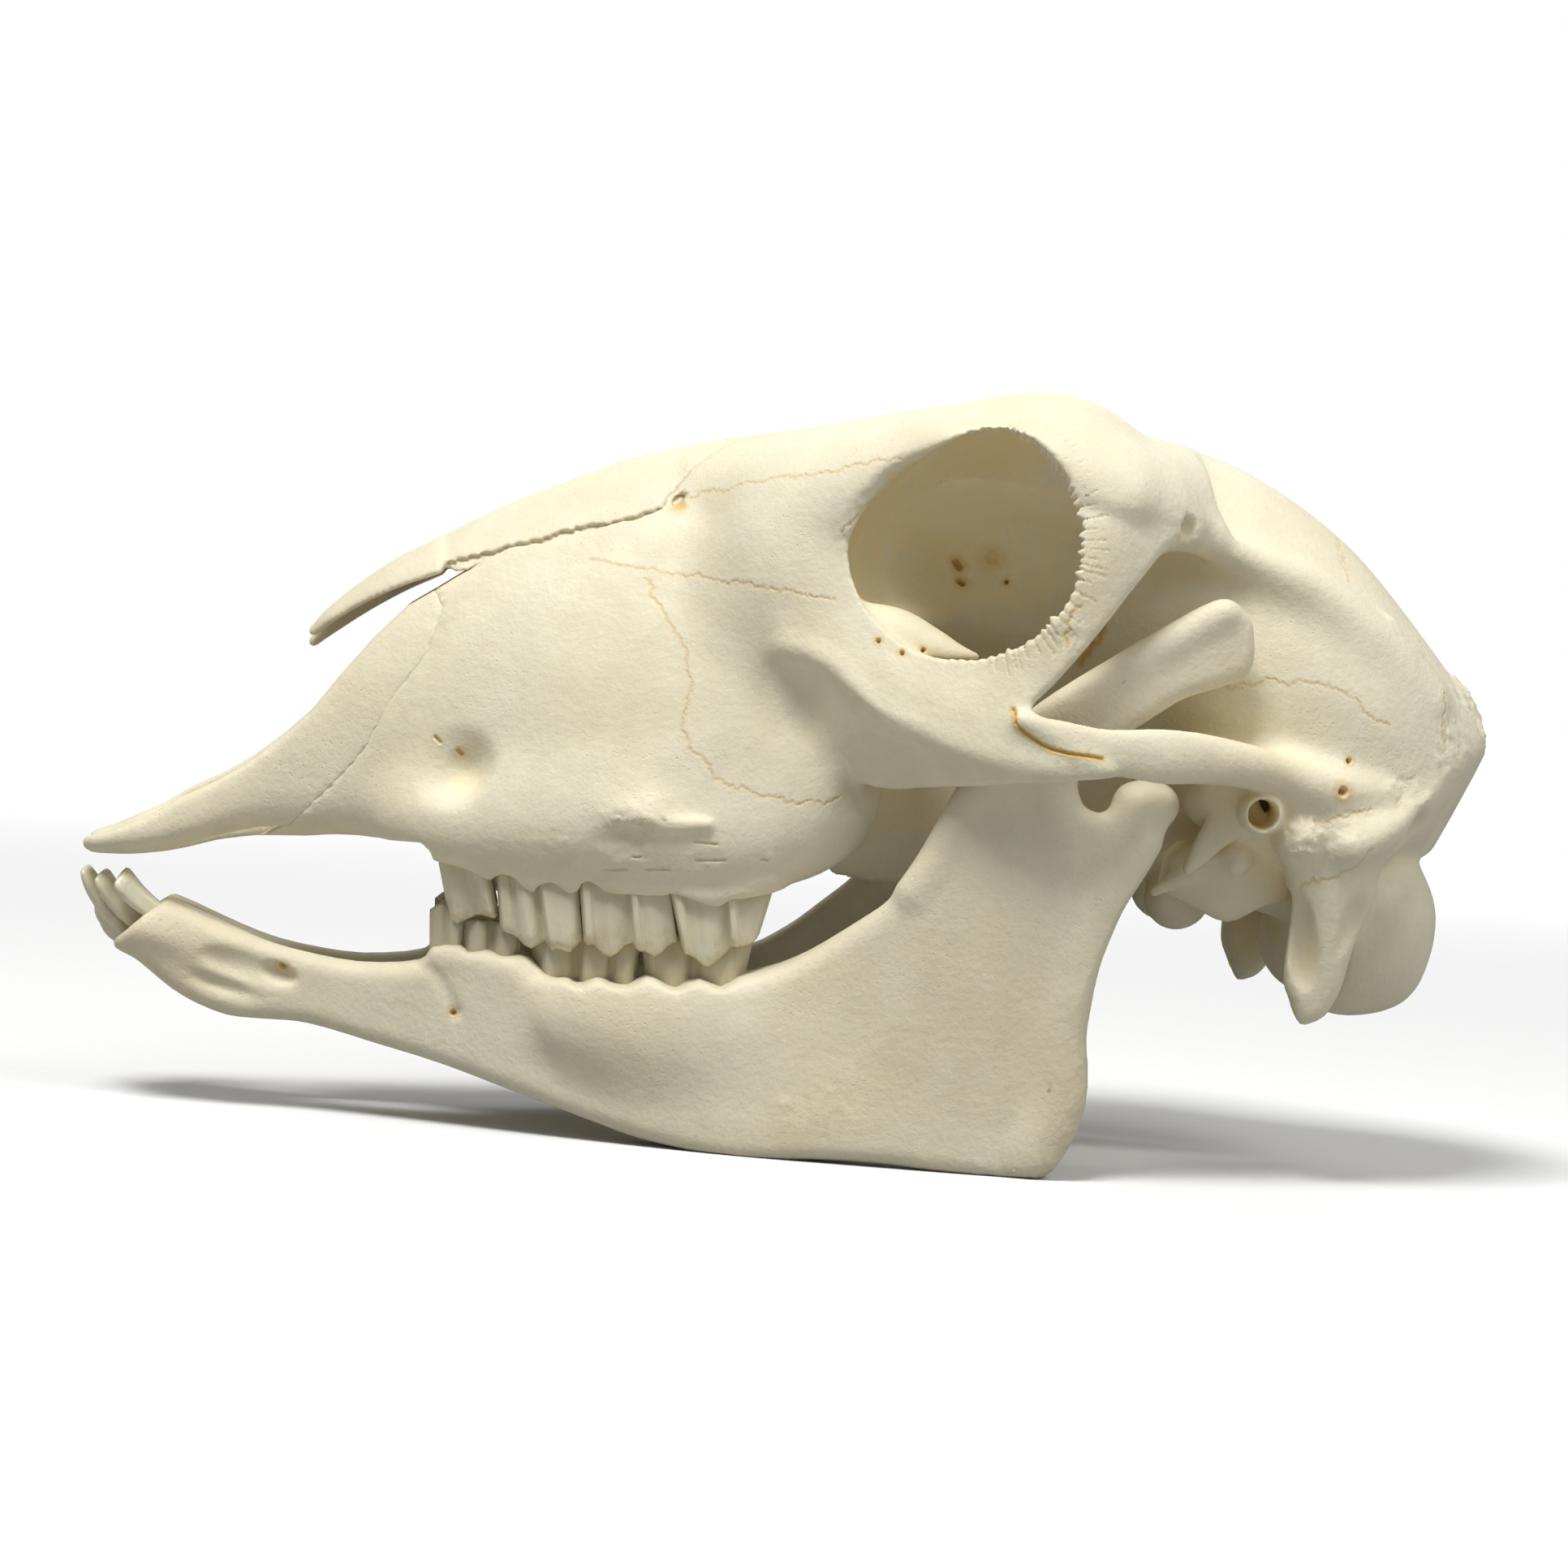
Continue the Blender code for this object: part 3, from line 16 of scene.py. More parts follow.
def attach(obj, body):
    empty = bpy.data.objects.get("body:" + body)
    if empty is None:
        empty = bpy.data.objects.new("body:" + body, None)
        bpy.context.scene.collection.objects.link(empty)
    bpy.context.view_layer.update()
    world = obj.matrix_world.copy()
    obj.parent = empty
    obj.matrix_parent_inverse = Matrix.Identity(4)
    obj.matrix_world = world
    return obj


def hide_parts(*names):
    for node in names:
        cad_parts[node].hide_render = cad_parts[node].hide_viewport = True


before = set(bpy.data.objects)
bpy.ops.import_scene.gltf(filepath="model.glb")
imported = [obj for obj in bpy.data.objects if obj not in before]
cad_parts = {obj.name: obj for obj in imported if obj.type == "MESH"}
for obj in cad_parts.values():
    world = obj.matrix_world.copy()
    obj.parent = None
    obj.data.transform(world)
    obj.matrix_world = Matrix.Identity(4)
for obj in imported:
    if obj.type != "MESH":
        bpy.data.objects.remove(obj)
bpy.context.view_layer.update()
bpy.ops.object.select_all(action="DESELECT")


# Braincase, forehead and face
# The fused vault of a young sheep: thin pale bone, here one closed shell of hulls and eggs that
# run into each other with a fillet. It is drawn as distances on a grid and made a mesh later.

FAR = 40.0
GRID = 0.5


def fair(stations, values):
    """A smooth curve through given values, which never overshoots them."""
    x = np.asarray(stations, float)
    y = np.asarray(values, float)
    width = np.diff(x)
    slope = np.diff(y) / width
    both = slope[1:] * slope[:-1]
    steepness = np.zeros_like(y)
    with np.errstate(divide="ignore", invalid="ignore"):
        steepness[1:-1] = np.where(both > 0, 2 * both / (slope[1:] + slope[:-1]), 0)
    steepness[0], steepness[-1] = slope[0], slope[-1]

    def curve(at):
        at = np.clip(at, x[0], x[-1])
        i = np.clip(np.searchsorted(x, at) - 1, 0, len(width) - 1)
        t = (at - x[i]) / width[i]
        start = (1 + 2 * t) * (1 - t) ** 2 * y[i] + t * (1 - t) ** 2 * width[i] * steepness[i]
        end = t * t * (3 - 2 * t) * y[i + 1] + t * t * (t - 1) * width[i] * steepness[i + 1]
        return start + end

    return curve


def path(points, per_span=6):
    """Points along a smooth line through a few points, each of any number of coordinates."""
    points = np.asarray(points, float)
    ends = np.vstack([2 * points[0] - points[1], points, 2 * points[-1] - points[-2]])
    found = []
    for a, b, c, d in zip(ends, ends[1:], ends[2:], ends[3:]):
        for t in np.arange(per_span) / per_span:
            found.append(0.5 * (2 * b + (c - a) * t + (2 * a - 5 * b + 4 * c - d) * t * t
                                + (3 * b - a - 3 * c + d) * t ** 3))
    return np.array(found + [points[-1]])


def joined(a, b, fillet):
    """The union of two distances, with a fillet of about that size where they meet."""
    if fillet <= 0:
        return np.minimum(a, b)
    h = np.clip(0.5 + 0.5 * (b - a) / fillet, 0, 1)
    return b + (a - b) * h - fillet * h * (1 - h)


class Bone:
    """Distances to a bone's surface in mm, below zero inside it, on a grid over one side of the skull."""

    def __init__(self, low, high, step, values=None):
        self.low = low
        self.high = high
        self.step = step
        self.axes = [np.arange(a, b + step, step, dtype=np.float32) for a, b in zip(low, high)]
        if values is None:
            values = np.full([len(axis) for axis in self.axes], FAR, np.float32)
        self.values = values

    def copy(self):
        return Bone(self.low, self.high, self.step, self.values.copy())

    def soften(self, times):
        """Rounds creases off by averaging each distance with its neighbours."""
        for _ in range(times):
            for axis in range(3):
                edges = [(1, 1) if k == axis else (0, 0) for k in range(3)]
                # the middle plane mirrors, every other side goes on as it is
                wide = np.pad(self.values, edges, mode="reflect" if axis == 1 else "edge")
                take = [slice(None)] * 3
                parts = []
                for start in range(3):
                    take[axis] = slice(start, start + self.values.shape[axis])
                    parts.append(wide[tuple(take)])
                self.values = 0.25 * parts[0] + 0.5 * parts[1] + 0.25 * parts[2]

    def window(self, low, high):
        return tuple(slice(*np.searchsorted(axis, (a, b)))
                     for axis, a, b in zip(self.axes, low, high))

    def grid(self, window):
        return np.ix_(*(axis[part] for axis, part in zip(self.axes, window)))

    def add(self, form, fillet=3.0):
        low, high, distance = form
        margin = fillet + 2 * self.step
        window = self.window(np.subtract(low, margin), np.add(high, margin))
        self.values[window] = joined(self.values[window], distance(*self.grid(window)), fillet)

    def cut(self, form, fillet=2.0):
        low, high, distance = form
        margin = fillet + 2 * self.step
        window = self.window(np.subtract(low, margin), np.add(high, margin))
        self.values[window] = -joined(-self.values[window], distance(*self.grid(window)), fillet)

    def keep(self, distance, fillet=0.0):
        """Keeps what lies where the distance is below zero."""
        whole = self.grid((slice(None),) * 3)
        self.values = -joined(-self.values, -distance(*whole), fillet)


def egg(centre, radii, turn=(0, 0, 0)):
    """An ellipsoid, turned by degrees about X, Y and Z."""
    spin = Matrix.Identity(3)
    for axis, angle in zip("XYZ", turn):
        spin = Matrix.Rotation(math.radians(angle), 3, axis) @ spin
    back = np.array(spin.transposed(), np.float32)
    reach = np.sqrt((np.array(spin) ** 2) @ (np.array(radii, float) ** 2))

    def distance(x, y, z):
        x, y, z = x - centre[0], y - centre[1], z - centre[2]
        near = far = 0
        for row, radius in zip(back, radii):
            along = row[0] * x + row[1] * y + row[2] * z
            near = near + (along / radius) ** 2
            far = far + (along / radius ** 2) ** 2
        near, far = np.sqrt(near), np.sqrt(far)
        return near * (near - 1) / np.maximum(far, 1e-6)

    return np.subtract(centre, reach), np.add(centre, reach), distance


def hull(rows):
    """A hull lofted along X. Each row: x, top, height of the widest part, bottom, half width,
    and how square the section is above and below its widest part (2 is round)."""
    rows = np.array(rows, float)
    lines = [fair(rows[:, 0], column) for column in rows[:, 1:].T]
    start, end = rows[0, 0], rows[-1, 0]

    def distance(x, y, z):
        top, wide, bottom, half, square_up, square_low = (line(x).astype(np.float32) for line in lines)
        above = z > wide
        height = np.where(above, top - wide, wide - bottom)
        square = np.where(above, square_up, square_low)
        share = (np.abs(y) / half) ** square + (np.abs(z - wide) / height) ** square
        share = np.maximum(share, 1e-4) ** (1 / square)
        reach = np.sqrt(y * y + (z - wide) ** 2)
        section = reach - reach / share
        beyond = np.maximum(start - x, x - end)
        outside = np.hypot(np.maximum(section, 0), np.maximum(beyond, 0))
        return outside + np.minimum(np.maximum(section, beyond), 0)

    low = (start, -rows[:, 4].max(), rows[:, 3].min())
    return low, (end, rows[:, 4].max(), rows[:, 1].max()), distance


def strut(rows, face):
    """A bar along a smooth line. Each row: x, y, z, half width and half thickness. The bar is thin
    along the direction face."""
    points = path(rows)
    face = np.array(face, float) / np.linalg.norm(face)
    most = points[:, 3:].max()

    def distance(x, y, z):
        shape = np.broadcast_shapes(x.shape, y.shape, z.shape)
        found = np.full(shape, FAR, np.float32)
        reach = most + 12
        for a, b in zip(points, points[1:]):
            low, high = np.minimum(a, b)[:3] - reach, np.maximum(a, b)[:3] + reach
            window = tuple(slice(*np.searchsorted(axis.ravel(), pair))
                           for axis, pair in zip((x, y, z), zip(low, high)))
            qx, qy, qz = x[window[0]] - a[0], y[:, window[1]] - a[1], z[:, :, window[2]] - a[2]
            along = b[:3] - a[:3]
            length = np.linalg.norm(along)
            along = along / length
            thin = face - along * (face @ along)
            thin = thin / np.linalg.norm(thin)
            wide = np.cross(along, thin)
            run = qx * along[0] + qy * along[1] + qz * along[2]
            t = np.clip(run / length, 0, 1)
            past = run - t * length
            across = qx * wide[0] + qy * wide[1] + qz * wide[2]
            through = qx * thin[0] + qy * thin[1] + qz * thin[2]
            half_wide = a[3] + (b[3] - a[3]) * t
            half_thin = a[4] + (b[4] - a[4]) * t
            near = np.sqrt((across / half_wide) ** 2 + (through / half_thin) ** 2
                           + (past / half_thin) ** 2)
            far = np.sqrt((across / half_wide ** 2) ** 2 + (through / half_thin ** 2) ** 2
                          + (past / half_thin ** 2) ** 2)
            here = near * (near - 1) / np.maximum(far, 1e-6)
            here = np.where(near < 0.05, -half_thin, here)
            found[window] = np.minimum(found[window], here)
        return found

    return points[:, :3].min(axis=0) - most, points[:, :3].max(axis=0) + most, distance


FACE = [
    # x, top, widest, bottom, half width, squareness above and below
    (-114, -5.0, -8.4, -10.0, 6.0, 2.0, 2.0),
    (-111.5, -3.5, -8.0, -10.6, 9.5, 2.0, 2.2),
    (-106, 1.0, -7, -10.8, 12.2, 2.0, 2.4),
    (-98, 6.5, -5, -9.7, 13.0, 2.0, 2.6),
    (-91, 12.0, -2, -8.2, 12.6, 2.0, 2.8),
    (-84, 18.5, 2, -7.7, 12.4, 2.0, 3.0),
    (-76, 26.5, 5, -7.8, 13.0, 2.0, 3.5),
    (-68, 33.0, 6, -7.8, 15.0, 2.0, 4.0),
    (-58, 39.4, 5, -8.0, 18.5, 1.9, 4.5),
    (-46, 45.5, 4, -8.0, 23.0, 1.8, 5.0),
    (-34, 50.2, 3, -8.0, 27.5, 1.7, 5.0),
    (-22, 54.2, 3, -7.5, 30.0, 1.65, 5.0),
    (-10, 56.2, 4, -7.0, 31.0, 1.7, 4.5),
    (0, 57.0, 6, -6.0, 30.0, 1.9, 4.0),
    (8, 57.6, 10, -3.0, 27.0, 2.1, 3.0),
    (14, 58.0, 20, 4.0, 19.0, 2.3, 2.0),
]
BRAINCASE = [
    (-5, 55.0, 34, 2.0, 16.0, 2.0, 2.0),
    (8, 57.8, 38, -2.0, 16.5, 2.6, 1.5),
    (20, 60.0, 40, -4.0, 17.5, 3.0, 1.4),
    (32, 61.0, 40, -6.0, 19.0, 3.0, 1.4),
    (42, 60.4, 36, -9.0, 21.5, 2.8, 1.5),
    (52, 57.9, 30, -11.0, 26.0, 2.3, 1.7),
    (62, 56.1, 24, -12.5, 29.5, 2.1, 1.9),
    (72, 52.9, 18, -13.0, 31.5, 2.0, 2.1),
    (82, 47.4, 14, -13.0, 32.0, 2.0, 2.3),
    (92, 39.5, 10, -13.0, 31.0, 2.0, 2.4),
    (100, 30.4, 6, -13.0, 28.5, 2.0, 2.4),
    (107, 20.8, 2, -12.0, 24.5, 2.1, 2.4),
    (114, 11.0, -2, -10.0, 17.0, 2.2, 2.4),
]
ROOF = [
    (-16, 54.0, 46, 40, 13.0, 2.0, 2.0),
    (-5, 56.6, 45, 35, 23.0, 2.0, 2.0),
    (5, 58.2, 46, 33, 32.0, 2.3, 2.0),
    (14, 59.8, 48, 37, 37.5, 2.8, 2.0),
    (24, 61.4, 50, 41, 42.6, 3.5, 2.0),
    (34, 62.4, 50, 43, 45.8, 3.3, 2.0),
    (43, 62.1, 48, 41, 48.0, 2.6, 2.0),
    (51, 60.0, 46, 38, 46.4, 2.2, 2.0),
    (58, 57.0, 46, 37, 39.0, 2.4, 2.0),
    (66, 54.6, 43, 35, 31.0, 2.2, 2.0),
]


def add_shell(bone):
    """The outside of the face, forehead and braincase, before any opening is cut."""
    bone.add(hull(FACE), 0)
    bone.add(hull(BRAINCASE), 2)
    bone.add(hull(ROOF), 2)
    # the cheek in front of the socket, and the swelling of the forehead where a horn would stand
    bone.add(egg((5, 19, 34), (19, 14, 21), (0, 20, 0)), 6)
    bone.add(egg((41, 23, 54.8), (14, 15, 8.6), (0, 8, 0)), 4)
    # the wall between the two eye sockets
    bone.add(strut([(0, 14, 36, 17, 9), (20, 13.5, 37, 15, 9.5), (40, 15, 36, 14, 10)], (0, 1, 0)), 4)
    # the part of the upper jaw that holds the cheek teeth, ending behind in the tuber
    sockets = [(-59, 15.6, -4.2, 4.4, 4.6), (-53.5, 18.4, -5.0, 6.2, 5.4), (-47, 19.6, -5.5, 7.6, 5.6),
               (-34, 22.5, -6.0, 9.0, 6.5),
               (-20, 24.4, -6.0, 9.8, 7.5), (-6, 25.0, -5.0, 10.0, 7.5), (3.5, 23.5, -2.4, 9.2, 6.8),
               (8.6, 20.5, 1.6, 6.6, 5.2)]
    bone.add(strut(sockets, (0, 1, 0)), 9)
    bone.soften(3)


skull = Bone((-119, 0, -42), (121, 57, 70), GRID)
add_shell(skull)
shell = skull.copy()


# Nape
# The rough knob of the occiput with the crest round it, and the slanting wall below, to which the
# neck muscles held.


def beyond(first, second, bend=0.0):
    """All that lies to the left of the line from one point of the middle plane to another, as the
    skull is seen with its nose to the left. With a bend, the surface curves towards the sides."""
    (ax, az), (bx, bz) = first, second
    length = math.hypot(ax - bx, az - bz)

    def distance(x, y, z):
        return ((x + bend * y * y - ax) * (bz - az) - (z - az) * (bx - ax)) / length

    return (-130, -60, -70), (130, 60, 70), distance


skull.add(egg((106.0, 0, 9.5), (8.6, 15, 9.0), (0, 25, 0)), 2)
skull.add(strut([(112.5, 0, 7, 2.4, 2.4), (109.5, 12, 5.5, 2.4, 2.4), (104, 22, 1.5, 3.0, 2.6),
                 (96, 29, -4.5, 3.2, 3), (87, 32.5, -8, 4, 3.2)], (1, 0, -1)), 3)
skull.cut(beyond((115.2, 4.4), (103.6, -16.5), 0.013), 2)


# Eye socket, cheek and arch
# The socket is a thin-walled bowl with a sharp ring. The cheek is a plate draped from the face to
# the bar behind the eye, with a crest, and ends in the arch that runs back to the ear.

ORBIT_CENTRE = (24.5, 46.0, 38.5)
ORBIT_DEPTH = (19.0, 27.0, 16.5)
ORBIT_UNDERCUT = 2.0
ORBIT_BOWL = 15.0
CHEEK_HALF = 2.0


def both(first, second, fillet):
    """Two forms run into one."""
    (low_a, high_a, one), (low_b, high_b, two) = first, second
    return (np.minimum(low_a, low_b), np.maximum(high_a, high_b),
            lambda x, y, z: joined(one(x, y, z), two(x, y, z), fillet))


def outline_distance(corners, x, z):
    """Distance in the XZ plane to a closed outline, below zero inside."""
    found = np.full(np.broadcast_shapes(x.shape, z.shape), 1e9)
    inside = np.zeros(found.shape, bool)
    for (ax, az), (bx, bz) in zip(corners, np.roll(corners, -1, axis=0)):
        ex, ez = bx - ax, bz - az
        t = np.clip(((x - ax) * ex + (z - az) * ez) / (ex * ex + ez * ez + 1e-9), 0, 1)
        found = np.minimum(found, (x - ax - t * ex) ** 2 + (z - az - t * ez) ** 2)
        crosses = (az > z) != (bz > z)
        with np.errstate(divide="ignore", invalid="ignore"):
            inside ^= crosses & (x < ax + (z - az) * ex / (ez if ez else 1e-9))
    return np.where(inside, -np.sqrt(found), np.sqrt(found))


def sheet(points):
    """A smooth surface through a few points (x, z, y): its distance from the middle plane."""
    points = np.array(points, float)
    count = len(points)

    def pull(x, z, px, pz):
        reach = (x - px) ** 2 + (z - pz) ** 2
        return reach * np.log(reach + 1e-6)

    system = np.zeros((count + 3, count + 3))
    system[:count, :count] = pull(points[:, :1], points[:, 1:2], points[:, 0], points[:, 1])
    system[:count, count:] = np.column_stack([np.ones(count), points[:, :2]])
    system[count:, :count] = system[:count, count:].T
    weights = np.linalg.solve(system, np.append(points[:, 2], np.zeros(3)))

    def height(x, z):
        found = weights[count] + weights[count + 1] * x + weights[count + 2] * z
        for (px, pz, _), weight in zip(points, weights):
            found = found + weight * pull(x, z, px, pz)
        return found

    return height


def draped(corners, points, half, fillet):
    """A plate with an outline in the XZ plane that lies along a sheet through a few points."""
    corners = path(np.vstack([corners, corners[:1]]), 3)[:-1]
    height = sheet(points)

    def distance(x, y, z):
        mid = height(x, z)
        slope = np.hypot(*np.gradient(mid[:, 0, :], x.ravel(), z.ravel()))[:, None, :]
        side = ((np.abs(y - mid) - half) / np.sqrt(1 + slope * slope)).astype(np.float32)
        around = outline_distance(corners, x, z).astype(np.float32)
        return -joined(-side, -around, fillet)

    reach = np.array(points, float)[:, 2]
    low, high = corners.min(axis=0), corners.max(axis=0)
    return (low[0], reach.min() - 9, low[1]), (high[0], reach.max() + 4, high[1]), distance


RIM = [
    # the edge of the eye socket, seen from the side, with its distance from the middle plane
    (7.9, 31.8, 40.6), (10.6, 32.4, 45.6), (15.0, 33.4, 50.2), (22.0, 36.2, 55.2), (28.0, 38.6, 57.6),
    (33.4, 41.0, 57.4), (38.2, 43.8, 53.4), (41.4, 46.8, 48.0), (42.8, 48.8, 42.0), (42.0, 49.6, 35.0),
    (39.2, 49.2, 29.4), (33.8, 47.6, 24.6), (26.4, 44.6, 22.2), (18.0, 40.6, 23.4), (11.6, 36.4, 28.4),
    (8.4, 33.4, 34.8),
]
CHEEK = [
    # the cheek, the bar behind the eye and the root of the arch, seen from the side
    (10, 47), (3, 42), (-1, 33), (-3, 25), (-1.5, 21.5), (3.6, 13), (7.0, 5), (13, 1.8), (22, 2.6),
    (30, 3.4), (38, 4.0), (44, 4.4), (47, 5.6), (43, 7.8), (38.4, 9.8), (35.4, 12.0), (34.6, 15.0),
    (38, 18.6), (42, 23), (47, 28.8), (51.4, 34), (55.5, 38.6), (58.6, 44), (55, 51), (46, 55),
    (30, 50), (18, 48),
]
CHEEK_SHEET = [
    # x, z and the distance from the middle plane
    (0, 44, 26), (-3, 34, 27.5), (-4, 26, 28.5), (-1, 23.4, 31.0), (5.6, 20.6, 34.6), (9, 16.8, 36.8),
    (13, 13.6, 39.4), (20, 10.9, 43.2), (27, 8.2, 46.4), (34, 6.6, 48.2), (40, 5.6, 48.8),
    (46, 5.2, 48.8), (2, 12, 28.0), (6.4, 7, 28.6), (12, 5, 32.5), (18, 4, 37.4), (24, 3.4, 42.4),
    (32, 3.6, 47.0), (36, 14.5, 48.0), (40, 20, 48.0), (46, 27, 47.0), (50.5, 34, 45.2),
    (55, 40, 41.6), (58, 45, 36.6), (50, 48, 43.4), (44, 55, 38),
]


def rim_height(x, z):
    """Distance of the socket's edge from the middle plane, which grows towards the back and down."""
    return 42 + 0.47 * (x - 25) - 0.16 * (z - 40)


def open_orbit(bone):
    """The eye socket's sharp edge, under which the bone is hollowed out."""
    edge = path(np.array([(x, z) for x, y, z in RIM + RIM[:1]]), 3)[:-1]

    def distance(x, y, z):
        below = np.clip((rim_height(x, z) - 2.0 - y) / 5.0, 0, 1)
        around = outline_distance(edge, x, z).astype(np.float32)
        around = around - ORBIT_UNDERCUT * below * below * (3 - 2 * below) * np.clip((x - 12) / 14, 0, 1)
        return -joined(-around, -(rim_height(x, z) - ORBIT_BOWL - y).astype(np.float32), 11)

    bone.cut(((5, 16, 18), (46, 60, 62), distance), 0.35)
    # the thin-walled swelling in the floor, with its free point
    swelling = [(9, 30.5, 26.0, 5, 5), (15, 32.0, 25.2, 5, 4.8), (20.5, 33.4, 23.6, 4.2, 3.4),
                (24.6, 34.8, 22.8, 2.4, 1.7), (27.6, 35.4, 22.4, 0.7, 0.7)]
    bone.add(strut(swelling, (0, 0, 1)), 1.5)


def add_cheek(bone):
    """The cheek with its crest, the bar behind the eye, and the arch back to the ear."""
    edge = [(x, z, y - CHEEK_HALF + 0.4) for x, y, z in RIM]
    bone.add(draped(CHEEK, CHEEK_SHEET + edge, CHEEK_HALF, 1.6), 4)
    crest = [(-1, 31.6, 23.8, 1.6, 1.6), (5.6, 35.8, 20.4, 1.7, 1.7), (12.6, 40.4, 14.0, 1.7, 1.7),
             (20, 44.0, 11.2, 1.6, 1.6), (27, 46.8, 8.4, 1.5, 1.6), (38, 49.0, 6.2, 1.3, 1.4)]
    bone.add(strut(crest, (-0.35, 1, 0)), 2.5)
    temporal = [(33.4, 50.2, 13.4, 0.9, 1.0), (39, 49.8, 11.4, 2.0, 1.3), (46, 48.8, 8.8, 3.2, 1.5),
                (55, 46.8, 7.6, 4.2, 1.7), (62, 44.0, 7.0, 3.8, 2.2), (69, 40.0, 5.6, 3.0, 2.8),
                (76, 35.4, 3.4, 2.4, 2.6), (84, 32.6, 1.4, 2.0, 2.2), (92, 29.6, 0.6, 2.0, 2.2)]
    bone.add(strut(temporal, (0.3, 1, 0)), 2.5)
    # the shelf between the arch and the braincase, which is also the roof of the jaw joint
    shelf = [(58, 35.0, 7.2, 7.0, 2.2), (66, 34.0, 6.0, 7.5, 2.6), (75, 31.0, 3.6, 6.0, 3.0),
             (84, 28.5, 1.0, 5.0, 3.0)]
    bone.add(strut(shelf, (0, 0, 1)), 4)


skull.cut(both(egg(ORBIT_CENTRE, ORBIT_DEPTH), egg((39, 42, 29), (19, 19, 17)), 8), 3)
skull.cut(egg((37, 37, 12), (12.5, 14, 15)), 5)
add_cheek(skull)
open_orbit(skull)


# Temple, ear and neck joint
# The temporal line, the tube of the ear with its bulb and prongs, the long process below it and
# the two knobs of the neck joint round the great opening.

FORAMEN_MAGNUM = 9.0


def plate(corners, line, fillet, low_at=-50, high_at=-20):
    """A plate with an outline in the XZ plane. Its distance from the middle plane and its half
    thickness change along it, and between a low and a high level."""
    corners = path(np.vstack([corners, corners[:1]]), 3)[:-1]
    stations = sorted(line)
    mid_low, mid_high, half_low, half_high = (
        fair(stations, [line[x][i] for x in stations]) for i in range(4))

    def distance(x, y, z):
        high = np.clip((z - low_at) / (high_at - low_at), 0, 1)
        mid = mid_low(x) * (1 - high) + mid_high(x) * high
        half = half_low(x) * (1 - high) + half_high(x) * high
        side = (np.abs(y - mid) - half).astype(np.float32)
        around = outline_distance(corners, x, z).astype(np.float32)
        return -joined(-side, -around, fillet)

    widest = max(max(line[x][0] + line[x][2], line[x][1] + line[x][3]) for x in stations)
    inmost = min(min(line[x][0] - line[x][2], line[x][1] - line[x][3]) for x in stations)
    low, high = corners.min(axis=0), corners.max(axis=0)
    return (low[0], inmost, low[1]), (high[0], widest, high[1]), distance


PARACONDYLAR = [
    (77.0, -5.0), (77.6, -13.4), (78.8, -15.8), (78.6, -19.8), (78.0, -24.7), (77.6, -29.5),
    (78.6, -32.6), (80.2, -36.4), (81.8, -36.6), (83.8, -35.8), (85.4, -34.1), (87.0, -30.9),
    (88.1, -27.2), (89.4, -22.7), (92.0, -17.5), (93.0, -13.8), (92.9, -9.0), (92.4, -3.0),
]
PARACONDYLAR_LINE = {
    76: (28.4, 30.4, 1.5, 2.6),
    84: (28.0, 30.8, 1.7, 3.4),
    94: (24.6, 27.0, 1.5, 2.8),
}
EAR_BULB = [(58.8, -15.6), (64.0, -18.2), (69.4, -20.6), (74.6, -18.4), (79.6, -16.2), (79.0, -8.0),
            (62.0, -8.0)]
EAR_BULB_LINE = {
    58: (21.0, 22.0, 3.0, 4.4),
    69.4: (22.4, 23.4, 3.0, 5.2),
    80: (21.0, 22.0, 3.0, 4.6),
}


